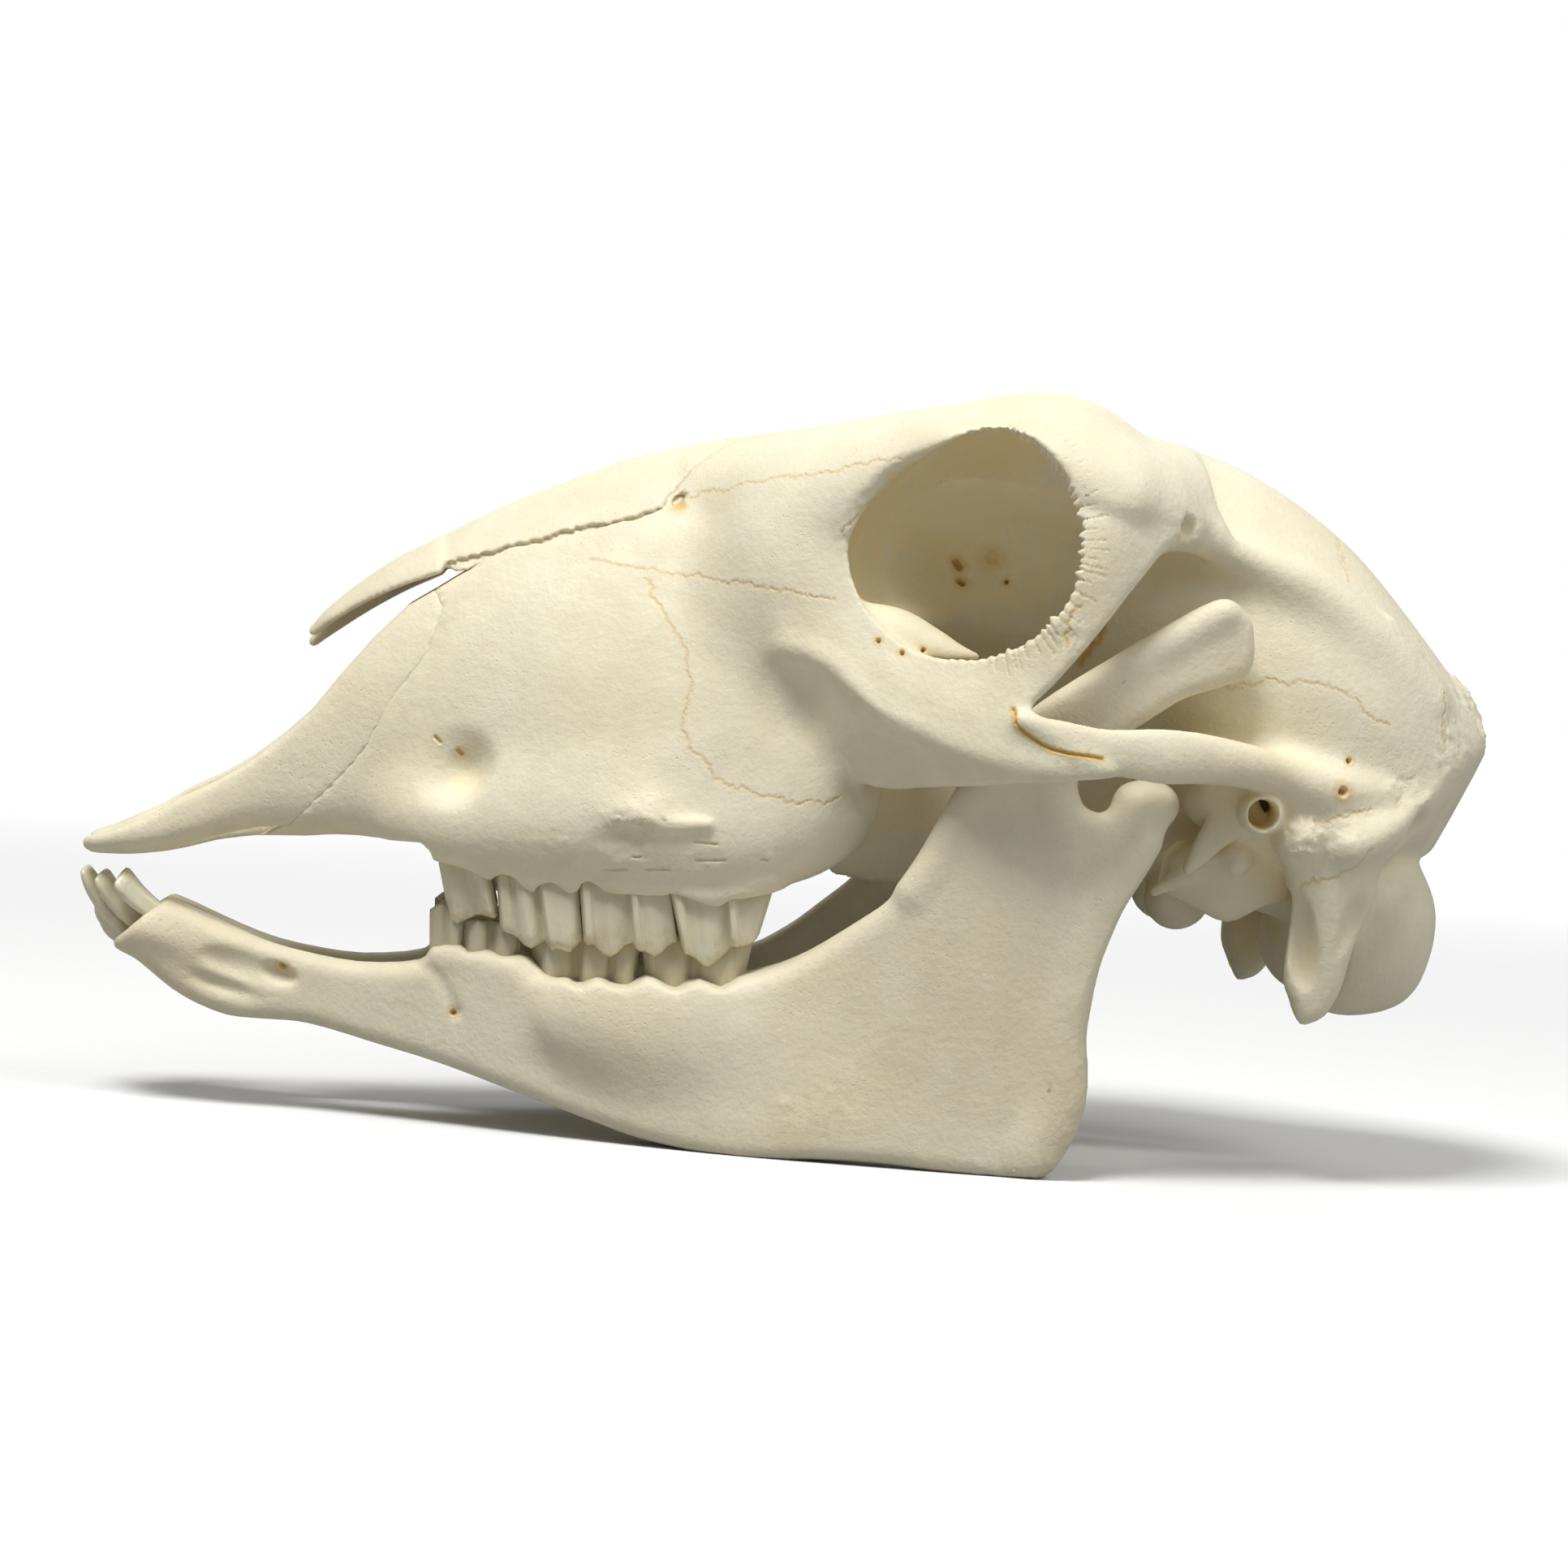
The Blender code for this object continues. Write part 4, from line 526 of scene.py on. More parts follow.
def add_temple(bone):
    """The temporal line, the ear opening, the mastoid and the process below it."""
    line = [(57, 37.5, 44, 2.6, 2.6), (63, 33.0, 40.6, 2.2, 2.2), (72, 29.5, 37, 2.0, 2.0),
            (83, 27.5, 32, 2.0, 2.0), (93, 25.5, 24, 2.0, 2.0), (101, 23.0, 15, 2.2, 2.2)]
    bone.add(strut(line, (0, 1, 0)), 7)
    bone.add(strut([(68, 26, 0, 6, 6.5), (79, 25.5, -1.5, 9, 8.8), (90, 23.5, -4, 8, 8)], (0, 1, 0)), 5)
    bone.add(strut([(74, 27, 1, 4, 4), (72.8, 34.2, -2.0, 3.4, 3.4)], (1, 0, 0)), 1.5)
    bone.add(strut([(72.8, 34.2, -2.0, 3.8, 3.8), (72.5, 36.4, -2.1, 3.6, 3.6)], (1, 0, 0)), 0.4)
    bone.cut(strut([(73.5, 28, -1, 1.6, 1.6), (72.6, 34, -2.1, 2.0, 2.0), (72.4, 42, -2.2, 2.8, 2.8)],
                   (1, 0, 0)), 0.3)
    bone.add(egg((79.0, 32.8, -6.0), (4.2, 4.0, 4.4)), 0.6)
    # the crest that parts the side of the braincase from the nape, with a hollow behind it
    bone.add(strut([(95, 23.5, 26.5, 1.0, 1.2), (101, 20.5, 18, 1.4, 1.5), (103.4, 19.0, 11, 1.5, 1.5),
                    (101.0, 23.0, 4.4, 1.5, 1.5), (95.5, 27.4, -0.6, 1.3, 1.3),
                    (91.6, 30.6, -6.4, 1.2, 1.2)],
                   (0.4, 1, 0)), 2.6)
    bone.cut(strut([(99.0, 28.0, -4.5, 1.6, 1.8), (95.4, 30.4, -10.0, 1.6, 1.8)], (0.4, 1, 0)), 2.5)
    # the scar where a horn's edge would stand
    bone.add(egg((59.6, 36.8, 42.2), (3.3, 2.3, 2.9), (0, 25, 0)), 1.4)
    bone.cut(egg((60.0, 39.8, 42.4), (2.1, 1.4, 1.7), (0, 25, 0)), 0.7)
    bone.add(plate(PARACONDYLAR, PARACONDYLAR_LINE, 2.2, -36, -8), 2.5)
    bone.cut(egg((80.0, 33.2, -24.0), (3.0, 4.2, 9.6), (0, -8, 0)), 0.4)
    bone.cut(egg((88.6, 33.4, -20.0), (2.6, 3.6, 7.0), (0, 18, 0)), 0.6)


def add_skull_base(bone):
    """The joint knobs of the neck, the floor of the braincase, ear bulbs and wings."""
    bone.add(egg((94.0, 14.5, -23.6), (9.8, 10.8, 12.8), (0, -14, 0)), 4)
    bone.add(egg((90.0, 13.5, -27.5), (8.4, 9.4, 9.4)), 3)
    # the upper facet of each knob stands a little proud and ends below in an edge
    bone.add(egg((96.0, 16.0, -19.0), (8.0, 9.6, 9.6), (0, -12, 0)), 4)
    bone.add(strut([(56, 0, -11, 8, 5), (70, 0, -13.5, 9.5, 5), (84, 0, -17.5, 11, 5.5),
                    (91, 0, -20.5, 12, 5.5)], (0, 0, 1)), 4)
    bone.add(egg((64.0, 7.5, -18.4), (5.4, 3.8, 5.2)), 2.5)
    bone.cut(strut([(82, 0, -4, 7, 7), (90, 0, -8.5, FORAMEN_MAGNUM, 8.5),
                    (98, 0, -12.5, FORAMEN_MAGNUM, 8.0),
                    (112, 0, -20, 10, 9)], (0, 0, 1)), 1.5)
    # ear bulb, folded along a line, the socket beside it and two pointed processes in front
    bone.add(plate(EAR_BULB, EAR_BULB_LINE, 1.6, -20, -10), 2)
    bone.add(egg((70.0, 27.8, -9.6), (2.8, 2.6, 3.4)), 1)
    bone.add(strut([(72, 31.0, -1.6, 4.2, 1.4), (67.4, 31.2, -4.6, 3.0, 1.2), (64.2, 30.8, -8.4, 1.9, 1.0),
                    (62.0, 30.2, -11.4, 0.9, 0.8)], (0, 1, 0)), 1.2)
    bone.add(strut([(67, 26.6, -9.0, 3.0, 1.6), (61.6, 26.8, -12.6, 1.7, 1.1),
                    (57.2, 26.4, -15.4, 0.8, 0.8)],
                   (0, 1, 0)), 1.2)
    # wings behind the palate
    wing = [(8, 14.5, -6.0, 7.5, 1.7), (16, 12.5, -7.0, 8.4, 1.5), (26, 11.0, -7.5, 8.4, 1.4),
            (36, 10.5, -9.0, 7.0, 1.4), (46, 11.5, -10.0, 5.0, 1.6), (56, 13.5, -11, 3.5, 2.0)]
    bone.add(strut(wing, (0, 1, 0)), 3)
    bone.add(strut([(40, 10.5, -13, 2.2, 1.3), (46, 10.0, -19, 1.0, 1.0)], (0, 1, 0)), 1.5)


add_temple(skull)
add_skull_base(skull)


# Cheek forms and nose
# Ridges and hollows of the cheek, the vault of the palate, and the open hollow of the nose with
# the scroll on its wall.

GAP = 0.12
SEAM_OVERLAP = 0.2
SEAM_FILLET = 0.12
LAP_DEPTH = 1.1
LAP_REACH = 1.5
LAP_PLAY = 0.04
LEDGE_PLAY = 0.03


def add_face_forms(bone):
    """Ridges and hollows of the cheek, the palate's vault and the nerve's opening."""
    bone.cut(egg((-2.0, 40.5, 15.0), (8.0, 8.6, 6.0), (0, 35, 0)), 6)
    # the groove under the cheek's crest
    bone.cut(strut([(-3.5, 36.2, 23.6, 1.8, 2.0), (1.0, 37.2, 19.6, 2.6, 2.7), (6.0, 40.0, 15.0, 2.8, 3.0),
                    (11.5, 43.6, 11.6, 2.4, 2.5), (18.0, 47.8, 9.2, 1.6, 1.8)], (0, 1, 0)), 1.2)
    # the rough ridge over the hind teeth with a hollow under it
    bone.add(egg((-24, 28.5, -1.5), (7, 4.4, 3.4), (0, -8, 0)), 4)
    bone.add(strut([(-33, 26.6, -0.6, 0.8, 0.8), (-29, 30.2, -3.0, 1.3, 1.2), (-24.5, 31.8, -2.6, 1.5, 1.4),
                    (-20, 32.6, -3.6, 1.2, 1.0), (-14, 33.0, -3.6, 0.7, 0.6)], (0, 1, 0)), 1.8)
    bone.cut(egg((-27.5, 33.4, -6.6), (4.2, 2.6, 2.6), (0, -10, 0)), 1.6)
    # the nerve's opening: a pit that runs in backwards under a sharp edge
    bone.cut(egg((-56.0, 24.3, 5.4), (8.4, 4.8, 6.0), (0, 0, -18)), 2.5)
    bone.cut(egg((-53.0, 22.2, 4.6), (4.4, 3.8, 4.2), (0, 0, -26)), 0.35)
    vault = [(-72, 0, -12.5, 9.5, 6.5), (-50, 0, -14, 12.0, 8.0), (-30, 0, -14.5, 15.0, 9.5),
             (-8, 0, -15, 15.5, 10.5), (6, 0, -15, 13.0, 11), (20, 0, -14, 9.4, 12),
             (38, 0, -15, 8.4, 10), (50, 0, -18, 8, 6)]
    bone.cut(strut(vault, (0, 0, 1)), 2)


HOLLOW = [
    (-120, 2, -3, -4.8, 7.5, 2.0, 2.5),
    (-108, 2, -3, -4.8, 8.8, 2.0, 2.5),
    (-98, 5, -3, -5.2, 9.8, 2.0, 2.6),
    (-84, 15.5, 2, -4.4, 9.2, 2.0, 2.8),
    (-76, 23.8, 5, -4.2, 10.0, 2.0, 3.0),
    (-68, 30.2, 8, -4.0, 11.8, 2.0, 3.0),
    (-58, 36.6, 9, -3.6, 14.0, 1.9, 3.0),
    (-46, 42.6, 10, -3.4, 16.0, 1.8, 3.0),
    (-34, 47.2, 12, -2.0, 17.0, 1.8, 2.6),
    (-26, 47.0, 16, 4.0, 14.0, 1.9, 2.2),
    (-20, 42.0, 22, 12.0, 8.0, 2.0, 2.0),
]
NOSE_EDGE = [(-84, 19.6), (-77, 23.4), (-68.7, 30.6), (-60, 34.6), (-56, 36.0), (-47.4, 38.2),
             (-35.3, 41.4),
             (-27.6, 43.0), (-20, 45.4), (-10, 47), (4, 47), (4, 70), (-84, 70)]
NOSE_BACK = [(-24, 22.0), (-20, 13.0), (-14.4, 9.0), (-9, 5.0), (-4.5, 1.8), (-2.5, 0.0), (6, -8)]
NOSE_OPENING = [(-130, -9), (-116, -8.2), (-109.8, -6.7), (-103.2, -4.0), (-97.9, -0.9), (-92.7, 1.4),
                (-87.4, 4.3), (-82.1, 8.2), (-76.9, 12.6), (-71.6, 19.0), (-66.4, 24.7),
                (-61.1, 29.7), (-56, 32.6), (-50.8, 35.8), (-47.4, 38.6), (-47, 70), (-130, 70)]
TIP_SUTURE = [(-60, 40), (-57.6, 33.6), (-55.2, 29.4), (-57.6, 22.8), (-61.4, 17.6), (-64.7, 12.9),
              (-67.0, 8.4), (-69.2, 5.4), (-72.2, 2.2), (-76.0, -1.6), (-79.8, -5.0), (-84.0, -7.0),
              (-88.0, -8.6), (-90, -14), (-130, -14), (-130, 42)]


def ragged(corners, first, last, wander, seed, step=0.7):
    """An outline whose stretch between two of its corners is uneven, like a real suture."""
    corners = np.array(corners, float)
    line = corners[first:last + 1]
    along = np.concatenate([[0], np.cumsum(np.hypot(*np.diff(line, axis=0).T))])
    at = np.arange(0, along[-1], step)
    fine = np.column_stack([np.interp(at, along, column) for column in line.T])
    chance = np.random.default_rng(seed)
    fine_sway = chance.uniform(-1, 1, len(at))
    broad_sway = np.repeat(chance.uniform(-1, 1, len(at) // 4 + 1), 4)[:len(at)]
    sway = fine_sway + 1.2 * broad_sway
    ahead = np.gradient(fine, axis=0)
    side = np.column_stack([-ahead[:, 1], ahead[:, 0]]) / np.hypot(*ahead.T)[:, None]
    fine[1:-1] += side[1:-1] * (0.5 * wander * sway[1:-1])[:, None]
    return np.vstack([corners[:first], fine, corners[last:]])


TIP_OUTLINE = ragged(TIP_SUTURE, 0, 12, 0.28, 4)
NOSE_OUTLINE = ragged(NOSE_EDGE, 4, 9, 0.3, 7)


def prism(corners, near=-60, wide=60):
    """A solid with one outline in the XZ plane, from side to side of the skull."""
    corners = np.array(corners, float)

    def distance(x, y, z):
        return outline_distance(corners, x, z).astype(np.float32) + 0 * y

    low, high = corners.min(axis=0), corners.max(axis=0)
    return (low[0], near, low[1]), (high[0], wide, high[1]), distance


def grown(form, by):
    low, high, distance = form
    return np.subtract(low, by), np.add(high, by), lambda x, y, z: distance(x, y, z) - by


def hollow_nose(bone):
    """Opens the nose from the front, and leaves a scroll on its wall and a ridge on its floor."""
    bone.cut(hull(HOLLOW), 2)
    bone.cut(prism(NOSE_OPENING), 1.2)
    bone.add(strut([(-63, 9.5, 7, 2.0, 3.0), (-52, 11.5, 9, 4.0, 4.2), (-36, 14, 11, 5.0, 5.0)],
                   (0, 1, 0)), 2)
    bone.add(strut([(-66, 0, -3.5, 3.0, 1.6), (-50, 0, -2.0, 4.0, 1.6), (-26, 0, 0.0, 6.0, 1.8)],
                   (0, 1, 0)), 1.5)


def nose_roof():
    """The room of the two nose bones: above their side edges and in front of their pointed back."""
    low, high, above = prism(NOSE_OUTLINE)
    back = fair(*zip(*NOSE_BACK))
    chance = np.random.default_rng(3)
    knots = np.arange(-24, 7, 0.7)
    teeth = chance.uniform(-0.4, 0.4, len(knots))

    def distance(x, y, z):
        limit = back(x) + np.interp(x, knots, teeth)
        return np.maximum(above(x, y, z), np.abs(y) - limit.astype(np.float32) + 0 * z)

    return low, high, distance


def seam_width(x):
    """Half the gap between a nose bone and the face: it gapes in front and closes behind."""
    return fair([-62, -57, -54, -49, -44, -39, -35, -31, -27.5, -24, -20, 4],
                [0.04, 0.05, 0.35, 0.3, 0.12, 0.28, 0.4, 0.32, 0.08, 0.2, 0.06, 0.05])(x).astype(np.float32)


def lap(bone, outer, way):
    """The room of the nose bones. Their outer layer ends at the seam and an inner ledge reaches on
    under the face. Way is 1 for the room cut out of the face and -1 for the bone that fills it."""
    x, y, z = bone.grid((slice(None),) * 3)
    roof = nose_roof()[2](x, y, z)
    reach = LAP_REACH * np.clip((x + 57) / 4, 0, 1).astype(np.float32)
    over = np.maximum(roof - way * seam_width(x), -(outer + LAP_DEPTH))
    under = np.maximum(roof - reach - way * LAP_PLAY, outer + LAP_DEPTH + way * LEDGE_PLAY)
    return np.minimum(over, under)


UPPER_GUM = [
    (-71, -9.4), (-66, -7.5), (-58.8, -7.4), (-57.4, -8.8), (-57.0, -10.6), (-53.7, -11.2), (-51.1, -12.0),
    (-49.1, -13.2), (-47.8, -13.6), (-47.1, -12.7), (-45.9, -12.3), (-44.3, -12.7), (-43.0, -14.1),
    (-41.7, -15.1),
    (-41.0, -15.4), (-40.5, -14.2), (-39.7, -13.6), (-38.2, -13.3), (-36.9, -14.1), (-36.0, -14.9),
    (-35.1, -15.2),
    (-34.1, -14.8), (-33.6, -13.6), (-32.6, -13.0), (-31.1, -13.8), (-29.9, -14.8), (-27.9, -15.2),
    (-26.0, -15.1),
    (-24.1, -15.3), (-20.5, -15.3), (-19.6, -14.9), (-18.3, -15.1), (-16.5, -15.7), (-13.9, -16.7),
    (-12.0, -17.2),
    (-10.7, -16.2), (-10.1, -15.8), (-8.2, -15.8), (-6.3, -15.5), (-4.4, -15.3), (-1.8, -14.6), (0.5, -30),
    (-71, -30),
]


add_face_forms(skull)
# bone grows down between the necks of the teeth, and the gum's edge arches over each of them
skull.add(strut([(-52, 18.0, -11.4, 1.4, 1.6), (-41, 22.4, -13.8, 1.6, 1.9), (-29, 25.2, -14.4, 1.8, 2.0),
                 (-14, 27.4, -15.6, 1.9, 2.4), (-4, 27.6, -13.6, 1.6, 2.2)], (0, 1, 0)), 2.5)
skull.cut(prism(UPPER_GUM), 0.5)
hollow_nose(skull)
front = skull.copy()
skull.cut(grown(prism(TIP_OUTLINE), -SEAM_OVERLAP), SEAM_FILLET)
skull.values = np.maximum(skull.values, -lap(skull, shell.values, 1))
# the small hole where the nose bone, the face and the forehead meet
skull.cut(egg((-17.6, 14.2, 46.9), (1.7, 2.6, 0.8), (0, -35, 0)), 0.1)


# Skin of a bone
# How a form becomes a surface: the skin is taken off the grid, the largest body kept and thinned,
# then sutures, slits and nerve holes are cut into it, and sheltered places are marked.

SEAM_HALF = 0.20
SEAM_DEPTH = 0.22
FINE_EDGE = 0.34
HOLE_EDGE = 0.18
DEEP_MARK = 0.55
STAIN_REACH = 2.2
JAG = 0.45
RAY_START = 0.4
SET_DOWN = (-0.6, 1.6, 58.0)
REST_TILT_DEG = 4.1
ROLL_DEG = 2.6
ROLL_AXIS_Z = -24.0
METRES = 0.001


def skin(bone, mirrored):
    """Vertices and faces of a bone's surface. A mirrored bone is made whole, both sides at once."""
    values, low = bone.values, np.array(bone.low, float)
    if mirrored:
        values = np.concatenate([values[:, :0:-1], values], axis=1)
        low[1] = -(values.shape[1] - 1) / 2 * bone.step
    # two layers of air all round close the surface
    values = np.pad(values, 2, constant_values=FAR)
    values = np.ascontiguousarray(np.clip(values, -4 * bone.step, 4 * bone.step))
    grid = openvdb.FloatGrid(4 * bone.step)
    grid.copyFromArray(values)
    points, triangles, quads = grid.convertToPolygons(isovalue=0.0, adaptivity=0.0)
    points = (np.asarray(points) - 2) * bone.step + low
    return points, [tuple(map(int, f)) for f in triangles] + [tuple(map(int, f)) for f in quads]


def biggest_body(mesh):
    """Removes every loose crumb and keeps the largest closed surface."""
    seen, bodies = set(), []
    for start in mesh.verts:
        if start in seen:
            continue
        body, stack = [], [start]
        seen.add(start)
        while stack:
            vert = stack.pop()
            body.append(vert)
            for edge in vert.link_edges:
                other = edge.other_vert(vert)
                if other not in seen:
                    seen.add(other)
                    stack.append(other)
        bodies.append(body)
    bodies.sort(key=len)
    for body in bodies[:-1]:
        bmesh.ops.delete(mesh, geom=body, context="VERTS")


def standing():
    """The turns and lift that stand the jaws level, with the origin under the middle of the skull.
    The upper skull leans a little to its left on the jaws, and the two jaws stand upright."""
    axis = Matrix.Translation((0, 0, ROLL_AXIS_Z))
    roll = axis @ Matrix.Rotation(math.radians(ROLL_DEG), 4, "X") @ axis.inverted()
    turn = Matrix.Rotation(-math.radians(REST_TILT_DEG), 4, "Y")
    return Matrix.Scale(METRES, 4) @ Matrix.Translation(SET_DOWN) @ turn @ roll


def mirror(data, plane=0.0):
    """Turns a mesh into its mirror image about an upright plane through Y = plane."""
    data.transform(Matrix.Translation((0, 2 * plane, 0)) @ Matrix.Scale(-1, 4, (0, 1, 0)))
    data.flip_normals()


def thinned(name, bone, triangles, mirrored):
    """A mesh of a bone's surface, thinned to about that number of triangles."""
    points, faces = skin(bone, mirrored)
    data = bpy.data.meshes.new(name)
    data.from_pydata(points.tolist(), [], faces)
    mesh = bmesh.new()
    mesh.from_mesh(data)
    biggest_body(mesh)
    bmesh.ops.recalc_face_normals(mesh, faces=mesh.faces)
    mesh.to_mesh(data)
    mesh.free()
    made = linked(name, data)
    thin = made.modifiers.new("thin", "DECIMATE")
    thin.ratio = min(1.0, triangles / (2.0 * len(data.polygons)))
    thin.use_collapse_triangulate = True
    bpy.context.view_layer.objects.active = made
    bpy.ops.object.modifier_apply(modifier=thin.name)
    return made


def lace(tree, points, wander, seed, step=0.16):
    """A line laid on a bone through a few points, jagged sideways like a suture."""
    line = path(points, 24)
    along = np.concatenate([[0], np.cumsum(np.linalg.norm(np.diff(line, axis=0), axis=1))])
    at = np.arange(0, along[-1], step)
    line = np.column_stack([np.interp(at, along, column) for column in line.T])
    chance = np.random.default_rng(seed)
    knots = np.arange(0, along[-1] + 1.2, JAG)
    sway = np.interp(at, knots, chance.uniform(-1, 1, len(knots)))
    broad = np.interp(at, knots[::4], chance.uniform(-1, 1, len(knots[::4])))
    sway = wander * (0.6 * sway + 0.8 * broad)
    found = []
    for k, point in enumerate(line):
        place, normal, _, _ = tree.find_nearest(Vector(point))
        ahead = Vector(line[min(k + 1, len(line) - 1)] - line[max(k - 1, 0)])
        side = normal.cross(ahead).normalized()
        found.append(place + side * float(sway[k]))
    return found


def sorted_spots(spots):
    """A tree that finds the nearest of some places."""
    near = KDTree(len(spots))
    for k, spot in enumerate(spots):
        near.insert(spot, k)
    near.balance()
    return near


def split(mesh, edges):
    """Halves some edges and leaves triangles only."""
    bmesh.ops.subdivide_edges(mesh, edges=edges, cuts=1)
    bmesh.ops.triangulate(mesh, faces=[face for face in mesh.faces if len(face.verts) > 3])


def linked(name, data):
    """A new object in the scene."""
    made = bpy.data.objects.new(name, data)
    bpy.context.collection.objects.link(made)
    return made


def engrave(made, marks):
    """Cuts marks into a bone. Each: points, half width, depth, jaggedness and how stained it is.
    Near them the mesh is split until it is fine enough to hold them."""
    mesh = bmesh.new()
    mesh.from_mesh(made.data)
    tree = BVHTree.FromBMesh(mesh)
    spots = []
    for seed, (points, half, depth, wander, stain) in enumerate(marks):
        if len(points) == 1:
            spots.append((tree.find_nearest(Vector(points[0]))[0], half, depth, stain))
            continue
        for place in lace(tree, points, wander, seed):
            spots.append((place, half, depth, stain))
    near = sorted_spots([spot[0] for spot in spots])
    for rest in (0.45, 0.25, 0.12, 0.06):
        fine = []
        for edge in mesh.edges:
            length = edge.calc_length()
            if length < HOLE_EDGE:
                continue
            _, k, far = near.find((edge.verts[0].co + edge.verts[1].co) / 2)
            limit = HOLE_EDGE if spots[k][2] > DEEP_MARK else FINE_EDGE
            if length > limit * 1.2 and far < spots[k][1] + rest + length * 0.5:
                fine.append(edge)
        split(mesh, fine)
    mesh.normal_update()
    stained = mesh.verts.layers.float.new("stain")
    moves = []
    for vert in mesh.verts:
        _, k, far = near.find(vert.co)
        _, half, depth, stain = spots[k]
        if far < half * STAIN_REACH:
            share = max(0.0, 1 - far / half)
            share = share * share * (3 - 2 * share)
            moves.append((vert, vert.normal * (-depth * share)))
            vert[stained] = stain * max(0.0, 1 - (far / (half * STAIN_REACH)) ** 2)
    for vert, move in moves:
        vert.co += move
    mesh.to_mesh(made.data)
    mesh.free()


def split_near(mesh, spots, reach, longest, rounds=2):
    """Splits the edges within reach of some spots until they are short."""
    near = sorted_spots(spots)
    for _ in range(rounds):
        coarse = []
        for edge in mesh.edges:
            length = edge.calc_length()
            if length > longest:
                far = near.find((edge.verts[0].co + edge.verts[1].co) / 2)[2]
                if far < reach + length * 0.4:
                    coarse.append(edge)
        split(mesh, coarse)
    return near


def weather(made, patches, swell=0.10):
    """Uneven growth all over a bone, and rugged patches where muscles held or bones met.
    Each patch: a place, its radius and how rugged it is in mm."""
    mesh = bmesh.new()
    mesh.from_mesh(made.data)
    if patches:
        tree = BVHTree.FromBMesh(mesh)
        places = [tree.find_nearest(Vector(place))[0] for place, _, _ in patches]
        coarse = [edge for edge in mesh.edges
                  if edge.calc_length() > 0.8 and any((edge.verts[0].co - place).length < patch[1]
                                                      for place, patch in zip(places, patches))]
        split(mesh, coarse)
    mesh.normal_update()
    layer = mesh.verts.layers.float.new("rugged")
    for vert in mesh.verts:
        at = vert.co
        rise = swell * (noise.noise(at / 11.0) + 0.5 * noise.noise(at / 4.5 + Vector((7, 1, 3))))
        rough = 0.0
        for place, (_, radius, height) in zip(places if patches else (), patches):
            share = 1 - (at - place).length / radius
            if share > 0:
                rough = max(rough, height * min(1.0, 2.2 * share))
        if rough:
            rise += rough * (noise.noise(at / 1.5) + 0.6 * noise.noise(at / 0.7) + 0.1)
        vert[layer] = rough
        vert.co = at + vert.normal * rise
    mesh.to_mesh(made.data)
    mesh.free()


# each socket: its side and the seed of its teeth
RIM_SIDES = ((-1, 5), (1, 9))
RIM_EDGE = 0.46
RIM_REACH = 2.6
FRAY = [0.2, 0.3, 0.4, 0.5, 0.8, 1.0, 1.0, 1.0, 1.0, 1.0, 1.0, 0.9, 0.5, 0.1, 0.05, 0.1]


def rim_teeth(seed):
    """How far the socket's edge reaches inwards along its length, in small uneven teeth."""
    ring = path(np.array(RIM + RIM[:1], float), 60)[:-1]
    along = np.concatenate([[0], np.cumsum(np.linalg.norm(np.diff(ring, axis=0), axis=1))])
    strength = np.interp(np.arange(len(ring)) / 60, range(len(FRAY) + 1), FRAY + FRAY[:1])
    chance = np.random.default_rng(seed)
    reach = np.zeros(len(ring))
    gaps, start = [], 0.0
    while start < along[-1]:
        width = chance.uniform(0.8, 1.9)
        inside = (along >= start) & (along < start + width)
        share = (along[inside] - start) / width
        height = chance.uniform(0.25, 1.25)
        reach[inside] = height * (1 - np.abs(2 * share - 1) ** 1.6)
        gaps.append(int(np.searchsorted(along, start)))
        start += width
    return ring, reach * strength, [k for k in gaps if k < len(ring) and strength[k] > 0.6]


def fray_rim(made):
    """Draws the edge of each eye socket out into fine teeth of bone."""
    mesh = bmesh.new()
    mesh.from_mesh(made.data)
    for way, seed in RIM_SIDES:
        ring, reach, _ = rim_teeth(seed)
        spots = [Vector((x, way * y, z)) for x, y, z in ring]
        centre = sum(spots, Vector()) / len(spots)
        near = split_near(mesh, spots, 1.6, RIM_EDGE, 3)
        for vert in mesh.verts:
            _, k, far = near.find(vert.co)
            if far < RIM_REACH:
                inwards = centre - spots[k]
                inwards.y = 0
                vert.co += inwards.normalized() * float(reach[k]) * (1 - far / RIM_REACH) ** 1.5
    mesh.to_mesh(made.data)
    mesh.free()


def mark_painted_shade(made, reach=30.0, rays=10):
    """Marks how much of the sky round each vertex other bone hides, 0 in the open and 1 deep inside: the
    mask of the painted shade in hollows.
    """
    mesh = bmesh.new()
    mesh.from_mesh(made.data)
    tree = BVHTree.FromBMesh(mesh)
    mesh.normal_update()
    layer = mesh.verts.layers.float.new("painted_shade")
    turn = math.pi * (3 - math.sqrt(5))
    fan = []
    for k in range(rays):
        height = 1 - (k + 0.5) / rays
        flat = math.sqrt(1 - height * height)
        fan.append(Vector((flat * math.cos(k * turn), flat * math.sin(k * turn), height)))
    for vert in mesh.verts:
        spin = vert.normal.to_track_quat("Z", "Y").to_matrix()
        start = vert.co + vert.normal * RAY_START
        hidden = sum(tree.ray_cast(start, spin @ way, reach)[0] is not None for way in fan)
        vert[layer] = hidden / rays
    mesh.to_mesh(made.data)
    mesh.free()


def both_sides(marks):
    return marks + [([(x, -y, z) for x, y, z in points], *rest) for points, *rest in marks]


# Bone finish
# Clean dry bone: ivory with warmer clouds, fine grain and pores, ochre in its sutures, and painted
# shade in sheltered hollows: a darker, yellower colour that stands in for their shade and warm bounced
# light.


def value_at(nodes, name, scale, detail, rough, where):
    noise = nodes.new("ShaderNodeTexNoise")
    noise.label = name
    noise.inputs["Scale"].default_value = scale
    noise.inputs["Detail"].default_value = detail
    noise.inputs["Roughness"].default_value = rough
    nodes.id_data.links.new(where, noise.inputs["Vector"])
    return noise.outputs["Fac"]


